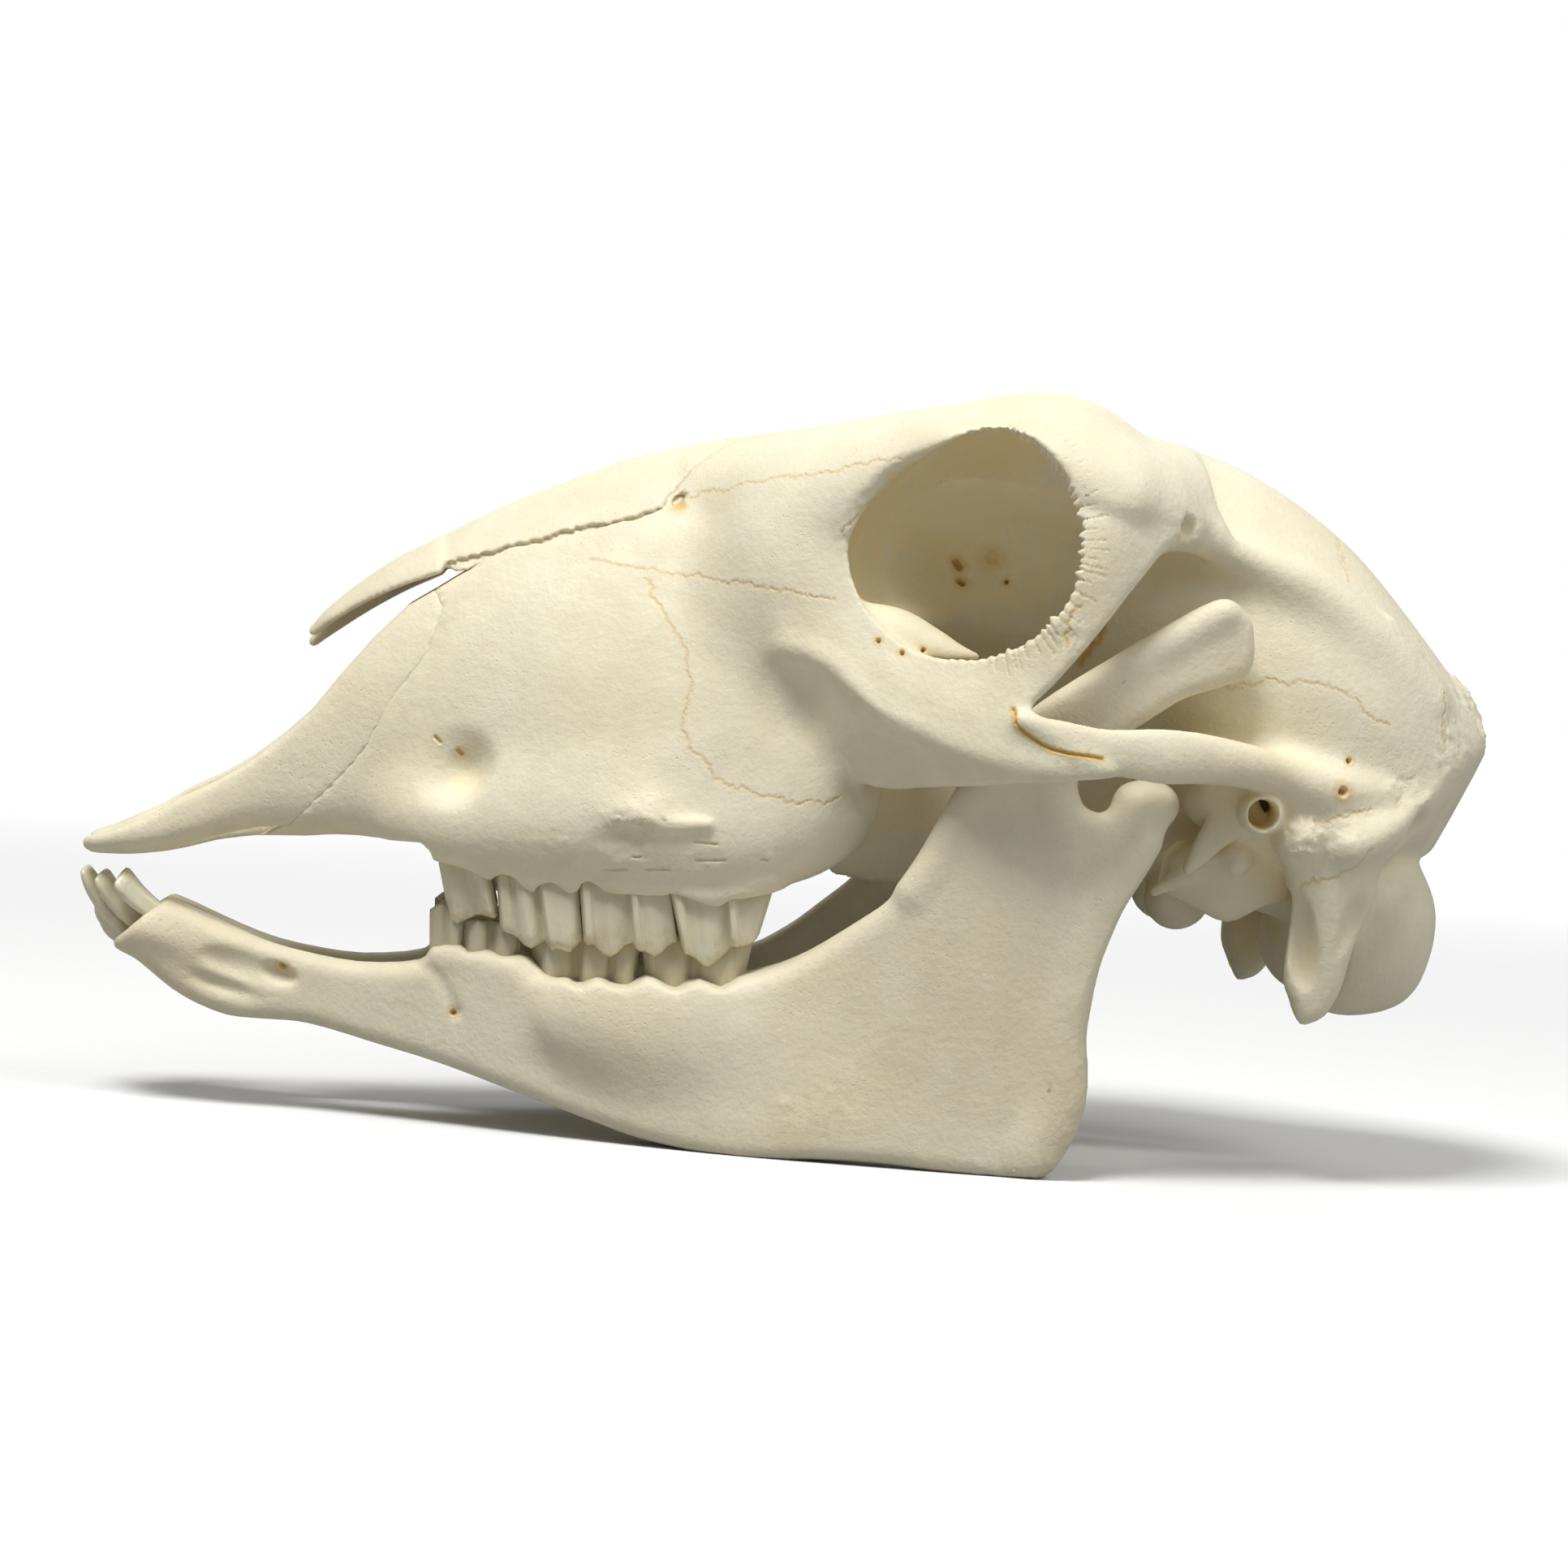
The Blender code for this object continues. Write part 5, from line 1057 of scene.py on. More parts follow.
def ranged(nodes, source, low, high, to_low=0.0, to_high=1.0):
    part = nodes.new("ShaderNodeMapRange")
    for name, value in zip(("From Min", "From Max", "To Min", "To Max"), (low, high, to_low, to_high)):
        part.inputs[name].default_value = value
    nodes.id_data.links.new(source, part.inputs["Value"])
    return part.outputs["Result"]


def mixed(nodes, share, first, second, blend="MIX"):
    """A mix of two colours, each a socket or plain numbers."""
    part = nodes.new("ShaderNodeMix")
    part.data_type = "RGBA"
    part.blend_type = blend
    for socket, value in ((part.inputs[0], share), (part.inputs[6], first), (part.inputs[7], second)):
        if isinstance(value, bpy.types.NodeSocket):
            nodes.id_data.links.new(value, socket)
        elif socket.type == "RGBA":
            socket.default_value = (*value, 1)
        else:
            socket.default_value = value
    return part.outputs[2]


def worked(nodes, kind, first, second):
    part = nodes.new("ShaderNodeMath")
    part.operation = kind
    for socket, value in zip(part.inputs, (first, second)):
        if isinstance(value, bpy.types.NodeSocket):
            nodes.id_data.links.new(value, socket)
        else:
            socket.default_value = value
    return part.outputs[0]


def painted(nodes, name):
    part = nodes.new("ShaderNodeAttribute")
    part.attribute_name = name
    return part.outputs["Fac"]


def bone_grain():
    """The shared pattern of dry bone: puts out its colour, roughness and height."""
    tree = bpy.data.node_groups.new("bone grain", "ShaderNodeTree")
    for name in ("Pale", "Warm", "Painted shade", "Stain"):
        tree.interface.new_socket(name, in_out="INPUT", socket_type="NodeSocketColor")
    tree.interface.new_socket("Color", in_out="OUTPUT", socket_type="NodeSocketColor")
    tree.interface.new_socket("Roughness", in_out="OUTPUT", socket_type="NodeSocketFloat")
    tree.interface.new_socket("Height", in_out="OUTPUT", socket_type="NodeSocketFloat")
    nodes = tree.nodes
    inputs = nodes.new("NodeGroupInput")
    outputs = nodes.new("NodeGroupOutput")
    where = nodes.new("ShaderNodeTexCoord").outputs["Object"]
    clouds = ranged(nodes, value_at(nodes, "clouds", 26, 4, 0.6, where), 0.36, 0.68)
    mottle = value_at(nodes, "mottle", 190, 5, 0.6, where)
    grain = value_at(nodes, "grain", 900, 4, 0.6, where)
    colour = mixed(nodes, clouds, inputs.outputs["Pale"], inputs.outputs["Warm"])
    shade = ranged(nodes, mottle, 0.3, 0.75, 1.03, 0.93)
    tint = nodes.new("ShaderNodeCombineColor")
    for socket in tint.inputs[:3]:
        tree.links.new(shade, socket)
    colour = mixed(nodes, 1.0, colour, tint.outputs[0], "MULTIPLY")
    # painted shade: sheltered hollows take the darker, yellower shade colour
    deep = ranged(nodes, painted(nodes, "painted_shade"), 0.3, 0.85)
    colour = mixed(nodes, deep, colour, inputs.outputs["Painted shade"])
    colour = mixed(nodes, painted(nodes, "stain"), colour, inputs.outputs["Stain"])
    tree.links.new(colour, outputs.inputs["Color"])
    tree.links.new(ranged(nodes, mottle, 0.3, 0.7, 0.50, 0.66), outputs.inputs["Roughness"])
    pores = nodes.new("ShaderNodeTexVoronoi")
    pores.inputs["Scale"].default_value = 1100
    tree.links.new(where, pores.inputs["Vector"])
    pits = ranged(nodes, pores.outputs["Distance"], 0.05, 0.22, -0.6, 0.0)
    patches = ranged(nodes, value_at(nodes, "patches", 60, 3, 0.5, where), 0.5, 0.62)
    height = worked(nodes, "MULTIPLY", pits, patches)
    height = worked(nodes, "ADD", height, grain)
    height = worked(nodes, "ADD", height, mottle)
    rugged = worked(nodes, "MULTIPLY", painted(nodes, "rugged"),
                    value_at(nodes, "rugged", 520, 5, 0.7, where))
    height = worked(nodes, "ADD", height, worked(nodes, "MULTIPLY", rugged, 4.0))
    tree.links.new(height, outputs.inputs["Height"])
    return tree


BONE_GRAIN = bone_grain()


def bone_finish(name, pale, warm, deep, stain):
    made = bpy.data.materials.new(name)
    made.use_nodes = True
    nodes, links = made.node_tree.nodes, made.node_tree.links
    shader = nodes["Principled BSDF"]
    shader.inputs["Subsurface Weight"].default_value = 0.12
    shader.inputs["Subsurface Radius"].default_value = (1.0, 0.6, 0.3)
    shader.inputs["Subsurface Scale"].default_value = 0.002
    shader.inputs["Specular IOR Level"].default_value = 0.4
    grain = nodes.new("ShaderNodeGroup")
    grain.node_tree = BONE_GRAIN
    for socket, colour in zip(grain.inputs, (pale, warm, deep, stain)):
        socket.default_value = (*colour, 1)
    links.new(grain.outputs["Color"], shader.inputs["Base Color"])
    links.new(grain.outputs["Roughness"], shader.inputs["Roughness"])
    bump = nodes.new("ShaderNodeBump")
    bump.inputs["Distance"].default_value = 0.0003
    bump.inputs["Strength"].default_value = 0.5
    links.new(grain.outputs["Height"], bump.inputs["Height"])
    links.new(bump.outputs["Normal"], shader.inputs["Normal"])
    return made


# the fourth colour is the painted shade of sheltered hollows
skull_bone = bone_finish("skull bone", (0.80, 0.75, 0.57), (0.77, 0.69, 0.48), (0.86, 0.71, 0.40),
                         (0.64, 0.42, 0.10))


# Upper skull
# The fused bones of a young animal, whose sutures still show as jagged ochre lines, with the holes
# and slits of its nerves and vessels. It stands on the lower jaws.


def seam(*points, wander=0.6, half=SEAM_HALF, depth=SEAM_DEPTH, stain=0.34):
    return list(points), half, depth, wander, stain


def hole(*points, half=0.7, depth=1.4, stain=0.6):
    return list(points), half, depth, 0.0, stain


SKULL_TRIANGLES = 80000
SUTURES = [
    seam((-15.9, 13.7, 47.4), (-7.3, 22.4, 49.1), (2.5, 29.3, 50.6), (9.8, 33.4, 52.3), (15.8, 36.8, 53.1)),
    seam((-32.1, 17.0, 37.2), (-25.1, 19.5, 35.9), (-15, 23.5, 34.7), (-6.4, 30.2, 33.4), (2.2, 33.7, 31.8),
         (5.9, 34.6, 31.2), wander=0.5, stain=0.3),
    seam((-23.2, 20.7, 34.4), (-20.4, 24.1, 28.4), (-17.1, 26.6, 23.4), (-16.5, 28.5, 17.1),
         (-17.3, 29.8, 10.3),
         (-12.3, 31.7, 3.4), (-5.5, 32.3, 1.2), (0.5, 32.0, -0.7), (8, 31.5, 0.2), stain=0.35),
    seam((7.0, 33.4, 41.7), (9.8, 33.7, 45.0), (13.4, 34.5, 48.1), wander=0.5),
    seam((52, 24, 33), (50, 23.5, 29), (48.1, 23.2, 24.3), (45.8, 20.8, 20.6), stain=0.8, half=0.4),
    seam((41.9, 49.8, 31.0), (40.4, 49.6, 27.9), (39.6, 49.6, 24.6), stain=0.6),
    # the cheek bone's end lies over the temple bone's along the arch, with a gap between them
    seam((31.6, 49.8, 15.4), (33.0, 50.2, 12.4), (36.3, 50.8, 9.7), (40.5, 50.8, 8.4), (45.3, 50.7, 7.6),
         wander=0.05,
         half=0.34, depth=0.45, stain=1.0),
    seam((66.9, 30.5, 17.2), (75.7, 31.7, 18.2), (84.7, 31.7, 17.1), (88.2, 31.2, 15.5), (89.7, 31.2, 13.2),
         (93.7, 30.6, 11.1)),
    seam((90, 0, 41), (90, 7.8, 40.2), (88.9, 17.4, 37.0), (88.7, 22.4, 33.5), wander=1.2, stain=0.3),
    seam((101.6, 16.2, 23.9), (103.0, 19.8, 20.1), (103.9, 24.7, 15.8), (103.6, 26.3, 7.7)),
    seam((81.2, 35.2, -3.5), (83.8, 34.9, -3.3), (87.1, 34.4, -2.7), (90.6, 33.1, -1.5)),
    seam((79.3, 32.6, -13.7), (84.2, 33.5, -12.5), (88.1, 34.4, -10.5), (89.9, 35.4, -7.7)),
]
HOLES = [
    hole((87.2, 31.7, 5.7), half=0.6), hole((85.7, 35.3, 1.1), half=1.1, depth=1.8),
    hole((-56.6, 19.0, 9.2), (-55.8, 19.0, 8.4), half=0.5, depth=0.6, stain=0.2),
    hole((-53.2, 20.8, 6.6), (-52.6, 20.8, 5.6), half=0.6, depth=0.8, stain=0.3),
    hole((26.2, 19.4, 36.8), (26.8, 19.6, 35.9), half=0.8),
    hole((26.7, 20.3, 33.9), (27.2, 20.3, 33.4), half=0.7),
    hole((31.8, 20.8, 37.5), half=1.5, depth=0.8, stain=0.4), hole((34.0, 21.8, 33.7), half=0.5),
    hole((-18.2, 14.4, 47.6), half=0.9, depth=0.1, stain=0.9),
    hole((12.2, 38.3, 25.1), half=0.5), hole((15.7, 40.2, 23.3), half=0.5),
    hole((19.2, 36.3, 23.4), half=0.5),
]
TOOTH_SLITS = [
    hole(front, rear, half=0.3, depth=0.35, stain=stain) for front, rear, stain in (
        ((-16.1, 32.5, -6.5), (-12.3, 32.6, -6.9), 0.1), ((-15.7, 31.7, -9.4), (-11.2, 31.8, -9.4), 0.12),
        ((-5.5, 31.7, -9.4), (-4.5, 31.5, -9.5), 0.12), ((-25.5, 30.9, -8.9), (-24.5, 31.1, -8.9), 0.12),
        ((-29.7, 29.0, -11.1), (-26.5, 29.8, -11.0), 0.12),
        ((-23.4, 30.4, -11.0), (-19.9, 30.9, -11.0), 0.12))
]


def finish_bone(made, finish, node, left=False, twin=False):
    """Stands a drawn bone in place, shades it smooth, gives it its finish, hangs it on the root body and
    hides the part of model.glb that it stands for.
    """
    if left or twin:
        mirror(made.data)
    made.data.transform(standing())
    if twin:
        mirror(made.data, METRES * SET_DOWN[1])
    for face in made.data.polygons:
        face.use_smooth = True
    made.data.materials.append(finish)
    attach(made, "root")
    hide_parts(node)


RUGGED = [
    # the nape, mastoid, ridge over the teeth, gum edge, rim, horn scar and the joints of the cheek
    ((108, 0, 12), 13, 0.5), ((108, 10, 10), 9, 0.5), ((103, 21, 6), 6, 0.42), ((79.2, 34, -5.8), 5.5, 0.5),
    ((96, 27, 0), 5, 0.32), ((98, 23.5, 22), 4.5, 0.25), ((96, 24, -17), 6, 0.16),
    ((86, 34, -5), 4, 0.25), ((-25, 31, -3), 6.0, 0.34), ((-38, 28, -9), 6, 0.2),
    ((-28, 29.6, -10.5), 6, 0.22),
    ((-16, 31, -10.5), 6, 0.22), ((-6, 31, -10.5), 5, 0.18), ((-50, 20, -8), 5, 0.16),
    ((12, 33.5, 48), 5, 0.20), ((8.5, 33, 43), 4, 0.2),
    ((58.5, 39, 41), 4.5, 0.25), ((40.4, 49.6, 26.5), 4.5, 0.28), ((49, 24, 28), 6, 0.28),
    ((71, 29, -12), 5, 0.2),
    ((100, 22, -25), 4, 0.12), ((80, 31, -34), 4, 0.15), ((-54, 15.5, 31), 4, 0.15),
]
GROOVES = []
for rim_side, rim_seed in RIM_SIDES:
    rim_ring, _, rim_gaps = rim_teeth(rim_seed)
    rim_middle = rim_ring.mean(axis=0)
    rim_chance = np.random.default_rng(rim_seed)
    for rim_gap in rim_gaps:
        start = rim_ring[rim_gap]
        outwards = (start - rim_middle) * (1, 0, 1)
        end = start + outwards / np.linalg.norm(outwards) * rim_chance.uniform(1.6, 4.2)
        GROOVES.append(([(start[0], rim_side * start[1], start[2]), (end[0], rim_side * end[1], end[2])],
                        0.20, 0.20, 0.0, 0.06))

cranium = thinned("skull", skull, SKULL_TRIANGLES, True)
mirror(cranium.data)
weather(cranium, [((x, side * y, z), *rest) for (x, y, z), *rest in RUGGED for side in (-1, 1)])
fray_rim(cranium)
skull_marks = both_sides(SUTURES) + both_sides(HOLES) + both_sides(TOOTH_SLITS)
engrave(cranium, [([(x, -y, z) for x, y, z in points], *rest) for points, *rest in skull_marks] + GROOVES)
mark_painted_shade(cranium)
finish_bone(cranium, skull_bone, "cranium")


# Bones at the tip of the nose
# A pair of slender bones that meet the upper jaw at a slanting suture and end toothless in front.
# Cut from the same form as the face, which they overlap a little so that no gap shows.

TIP_TRIANGLES = 9000
TIP_SWELL = 0.07


def premaxilla(skull_front):
    """One of the two bones at the tip of the nose, in front of the slanting suture."""
    bone = skull_front.copy()
    bone.keep(grown(prism(TIP_OUTLINE), SEAM_OVERLAP)[2], SEAM_FILLET)
    slit = [(-99, 6.4, -6, 1.2, 5), (-92, 6.4, -6, 2.6, 5), (-84, 6.2, -6, 2.9, 5), (-76, 6.0, -6, 2.9, 5)]
    bone.cut(strut(slit, (0, 0, 1)), 1)
    bone.cut(strut([(-120, 0, -8, 4.6, 8), (-110, 0, -8, 2.2, 8), (-100, 0, -8, 0.4, 8)], (0, 0, 1)), 2)
    bone.keep(lambda x, y, z: GAP / 2 - y + 0 * (x + z))
    return bone


tip_left = thinned("tip_bone_left", premaxilla(front), TIP_TRIANGLES, False)
tip_right = linked("tip_bone_right", tip_left.data.copy())
for made, node, left in ((tip_left, "premaxilla_left", True), (tip_right, "premaxilla_right", False)):
    weather(made, [], TIP_SWELL)
    mark_painted_shade(made)
    finish_bone(made, skull_bone, node, left)


# Nose bones
# Two thin leaves that roof the nose, held along the face by a suture and free at the tip. The far
# one has sunk a little at its loose end, as in an old dry skull.

NASAL_WALL = 2.2
NASAL_DROP = 2.2
NASAL_TRIANGLES = 12000
NASAL_SWELL = 0.05


def nasal(tip):
    """One of the two thin bones that roof the nose, ending in front at about X = tip."""
    bone = Bone((-84, 0, 12), (8, 26, 64), GRID)
    add_shell(bone)
    outer = bone.values.copy()
    bone.values = np.maximum(outer, -(outer + NASAL_WALL))
    bone.values = np.maximum(bone.values, lap(bone, outer, -1))
    edge = fair([tip, tip + 0.8, tip + 2.4, tip + 6, tip + 12, tip + 20, -47, -30, 4],
                [0.3, 1.7, 2.8, 4.2, 6.2, 8.8, 12.8, 18, 18])
    bone.keep(lambda x, y, z: y - edge(x).astype(np.float32) + 0 * z, 1.0)
    # the free end, a thin leaf with a rounded tip
    bone.keep(lambda x, y, z: -66 - x + 0 * (y + z), 1.5)
    bone.add(strut([(tip + 0.9, 1.2, 25.4, 1.0, 0.8), (-73.4, 2.2, 28.2, 2.2, 0.95),
                    (-68, 3.4, 31.9, 3.5, 1.05),
                    (-62, 4.8, 35.2, 4.8, 1.1), (-56, 6.0, 37.6, 5.6, 1.1)], (-0.5, 0.4, 0.77)), 1.0)
    bone.keep(lambda x, y, z: GAP / 2 - y + 0 * (x + z), 0.5)
    return bone


def drop_tip(data):
    """The far nose bone has sunk at its loose tip and hangs down at its side."""
    for vert in data.vertices:
        free = max(-46 - vert.co.x, 0) / 32
        vert.co.z -= NASAL_DROP * free ** 1.5 * (0.75 + 0.1 * vert.co.y)


nose_left = thinned("nose_bone_left", nasal(-77.4), NASAL_TRIANGLES, False)
nose_right = thinned("nose_bone_right", nasal(-77.6), NASAL_TRIANGLES, False)
drop_tip(nose_right.data)
for made, node, left in ((nose_left, "nasal_left", True), (nose_right, "nasal_right", False)):
    weather(made, [], NASAL_SWELL)
    mark_painted_shade(made)
    finish_bone(made, skull_bone, node, left)


# Lower jaws
# Each a long bar of bone that widens into a plate behind, with the joint and the tall process
# that the temple muscle pulled. They touch at the chin and each stands on two small flats on its
# lower edge.

FLOOR_Z = -58.0
JAW_TRIANGLES = 64000
JAW = [
    (-100.6, -17.4), (-105.0, -19.6), (-108.6, -22.6), (-108.6, -24.6), (-106.4, -26.2),
    (-103.0, -29.2), (-97.6, -33.4), (-90.8, -36.4), (-84.0, -37.2), (-77.4, -37.8),
    (-66.9, -40.5), (-56.4, -43.4), (-46.1, -46.8), (-35.8, -50.3), (-24.3, -54.2), (-14, -56.2),
    (-7, -56.8), (2.3, -56.6), (12, -57.0), (22, -58.2), (33, -59.3), (38.8, -58.2), (42.4, -53.4),
    (44, -48.3), (44.5, -43.2), (44.0, -37), (44.4, -31.6), (45.3, -25.3), (46.9, -21.4),
    (48.8, -17.0), (50.2, -14.4), (53.0, -10.4), (55.4, -5.6), (58.2, -2.6), (58.8, -0.4),
    (57.6, 1.6), (54.6, 2.8), (51.0, 2.8), (49.2, 1.6), (48.2, -0.6), (46.6, -1.4), (44.6, -0.6),
    (43.6, 1.2), (43.6, 4.0), (46.6, 7.8), (52.4, 11.3), (59.2, 15.4), (64.2, 17.0), (69.8, 18.8),
    (71.4, 21.4), (71.6, 25.0), (70.8, 28.6), (67.4, 30.9), (63.2, 30.3), (54.3, 25.2), (46.0, 20.0),
    (37.6, 14.9), (31, 9), (25.6, 2.6), (20.8, -7.6), (14.8, -14.9), (9, -19.5), (2.3, -24.0),
    (-5.2, -27.6),
    (-10.5, -29.6), (-19.1, -30.2), (-28, -30.2), (-35.7, -29.8), (-40.2, -28.9), (-43.6, -26.4),
    (-48.5, -25.4), (-55.3, -24.4),
    (-59.5, -27.0), (-69.5, -27.6), (-79.6, -25.9), (-89.1, -22.8), (-96, -19.6),
]
JAW_LINE = {
    # x: distance of the plate from the middle plane low down and high up, half thickness likewise
    -110: (4.0, 4.0, 2.6, 2.8),
    -103: (5.0, 5.4, 4.2, 4.6),
    -94: (5.2, 5.8, 4.4, 4.8),
    -84: (6.0, 6.6, 3.8, 3.4),
    -70: (9.4, 9.8, 4.2, 3.4),
    -58: (13.2, 13.6, 4.6, 4.0),
    -46: (17.2, 17.6, 5.0, 4.8),
    -30: (21.8, 20.8, 5.4, 5.4),
    -12: (27.6, 23.6, 5.0, 5.8),
    0: (31.0, 27.6, 4.4, 5.0),
    10: (33.4, 32.6, 3.6, 2.8),
    22: (35.6, 37.4, 2.9, 2.2),
    34: (36.8, 38.8, 2.8, 2.1),
    46: (37.4, 39.4, 2.8, 2.2),
    60: (37.6, 37.6, 2.4, 1.9),
    73: (37.6, 35.4, 2.4, 1.8),
}


LOWER_GUM = [
    (-59.4, -12), (-59.0, -25.6), (-57.4, -24.3), (-52.8, -23.9), (-51.5, -25.2), (-48.6, -24.6),
    (-46.0, -25.7),
    (-43.4, -25.3), (-41.8, -25.8), (-39.3, -28.4), (-37.8, -28.9), (-36.1, -28.8), (-34.6, -29.6),
    (-33.6, -29.8),
    (-31.6, -28.8), (-30.4, -28.8), (-28.8, -29.6), (-26.4, -29.9), (-25.0, -29.2), (-23.4, -28.3),
    (-22.0, -28.6),
    (-20.0, -29.8), (-18.6, -30.3), (-17.0, -29.4), (-15.2, -28.8), (-13.4, -29.4), (-11.6, -30.1),
    (-10.2, -29.4),
    (-8.6, -28.4),
    (-6.5, -27.9), (-2.0, -26.2), (3.5, -23.0), (10, -17.5), (4, -12),
]


def rolled(y, z):
    """Where a point of the jaw lies once the skull and jaws have been rolled level with the jaws."""
    roll = math.radians(ROLL_DEG)
    above = z - ROLL_AXIS_Z
    return (y * math.cos(roll) + above * math.sin(roll),
            ROLL_AXIS_Z - y * math.sin(roll) + above * math.cos(roll))


def mandible():
    """One lower jaw bone."""
    bone = Bone((-116, 0, -64), (78, 52, 36), GRID)
    bone.add(plate(JAW, JAW_LINE, 3.2), 0)
    # thick hind border and angle, the joint's bar, and the ridges up the coronoid process
    bone.add(strut([(36.5, 37.0, -54.5, 2.8, 2.8), (40.6, 38.2, -47, 2.8, 2.8), (41.4, 38.8, -34, 2.6, 3),
                    (46.0, 40.2, -18, 2.6, 2.6), (53.0, 40.6, -6, 2.8, 2.8)], (0, 1, 0)), 4)
    bone.add(strut([(54.6, 31.5, -0.4, 3.4, 2.0), (54.4, 36.5, -0.2, 3.6, 2.2),
                    (54.2, 40.4, -0.8, 2.6, 1.8)],
                   (0, 0, 1)), 4)
    bone.add(strut([(18, 36.4, -14, 2.2, 2.0), (29, 38.0, 4, 2.0, 1.9), (44, 38.8, 17.0, 1.8, 1.9),
                    (66, 37.0, 29.0, 1.3, 1.7)], (0, 1, 0)), 3)
    # the shovel that holds the front teeth
    bone.add(strut([(-86, 4.6, -30.5, 4.0, 3.6), (-95, 5.0, -25.5, 5.2, 3.8),
                    (-102, 5.6, -22.6, 5.6, 3.2), (-106.5, 5.0, -23.4, 4.4, 2.2)], (0.5, 0, 1)), 3)
    # the long hollow that leads into the nerve's opening at the chin, and a shallower one below it
    bone.cut(egg((-87.0, 11.6, -28.4), (8.0, 2.4, 2.5), (0, 18, 0)), 1.2)
    bone.cut(egg((-82.6, 10.6, -29.4), (3.4, 2.2, 1.9), (0, 18, 0)), 0.4)
    bone.cut(egg((-90.6, 11.0, -31.6), (6.0, 1.7, 1.1), (0, 20, 0)), 1.2)
    # a fold that runs down to the second opening
    bone.cut(strut([(-58.0, 17.8, -27.6, 0.8, 0.4), (-55.4, 19.2, -31.4, 0.9, 0.5),
                    (-53.8, 19.7, -34.6, 0.9, 0.9)],
                   (0, 1, 0)), 1.2)
    # a wall for the hind tooth, swelling at the side of the jaw
    bone.add(egg((-16, 24.8, -37), (24, 6.6, 10), (0, 8, 0)), 6)
    bone.add(strut([(-56, 16.0, -25.8, 1.6, 1.6), (-42, 19.6, -27.0, 1.8, 1.8),
                    (-30, 22.2, -29.8, 1.8, 2.0),
                    (-8, 25.4, -29.4, 2.0, 2.2)], (0, 1, 0)), 2.5)
    bone.cut(prism(LOWER_GUM), 0.8)
    # the cut rim of the front sockets, the middle plane and the flats that it stands on
    bone.cut(beyond((-109.0, -24.4), (-100.2, -17.0)), 1)
    bone.keep(lambda x, y, z: GAP / 2 - rolled(y, z)[0] + 0 * x)
    tilt = math.radians(REST_TILT_DEG)
    bone.keep(lambda x, y, z: (FLOOR_Z - x * math.sin(tilt) - rolled(y, z)[1] * math.cos(tilt)))
    return bone


JAW_MARKS = [
    hole((-82.0, 10.0, -29.2), half=0.8, depth=1.2),
    hole((-54.0, 19.3, -34.7), half=0.7, depth=1.0),
]
# the fourth colour is the painted shade of sheltered hollows
jaw_bone = bone_finish("jaw bone", (0.77, 0.72, 0.55), (0.73, 0.65, 0.45), (0.74, 0.62, 0.38),
                       (0.58, 0.37, 0.10))
jaw_left = thinned("lower_jaw_left", mandible(), JAW_TRIANGLES, False)
weather(jaw_left, [((5, 36, -46.5), 6, 0.16), ((-1, 35, -48.5), 3.5, 0.2), ((38, 38, -57), 5, 0.2),
                   ((42.5, 39, -50), 5, 0.16), ((43.5, 39, -42), 5, 0.12), ((30, 36, -58), 5, 0.12),
                   ((-104, 7, -21), 5, 0.12), ((-15, 27, -31), 6, 0.10), ((-33, 25, -30), 6, 0.10)])
engrave(jaw_left, JAW_MARKS)
jaw_right = linked("lower_jaw_right", jaw_left.data.copy())
for made, node, left, twin in ((jaw_left, "mandible_left", True, False),
                               (jaw_right, "mandible_right", False, True)):
    mark_painted_shade(made)
    finish_bone(made, jaw_bone, node, left, twin)


# Teeth
# Milk teeth and the first molars: glossy, ribbed enamel over yellower dentine, with their roots
# in the sockets of the jaws. Each is lofted from rings of points.

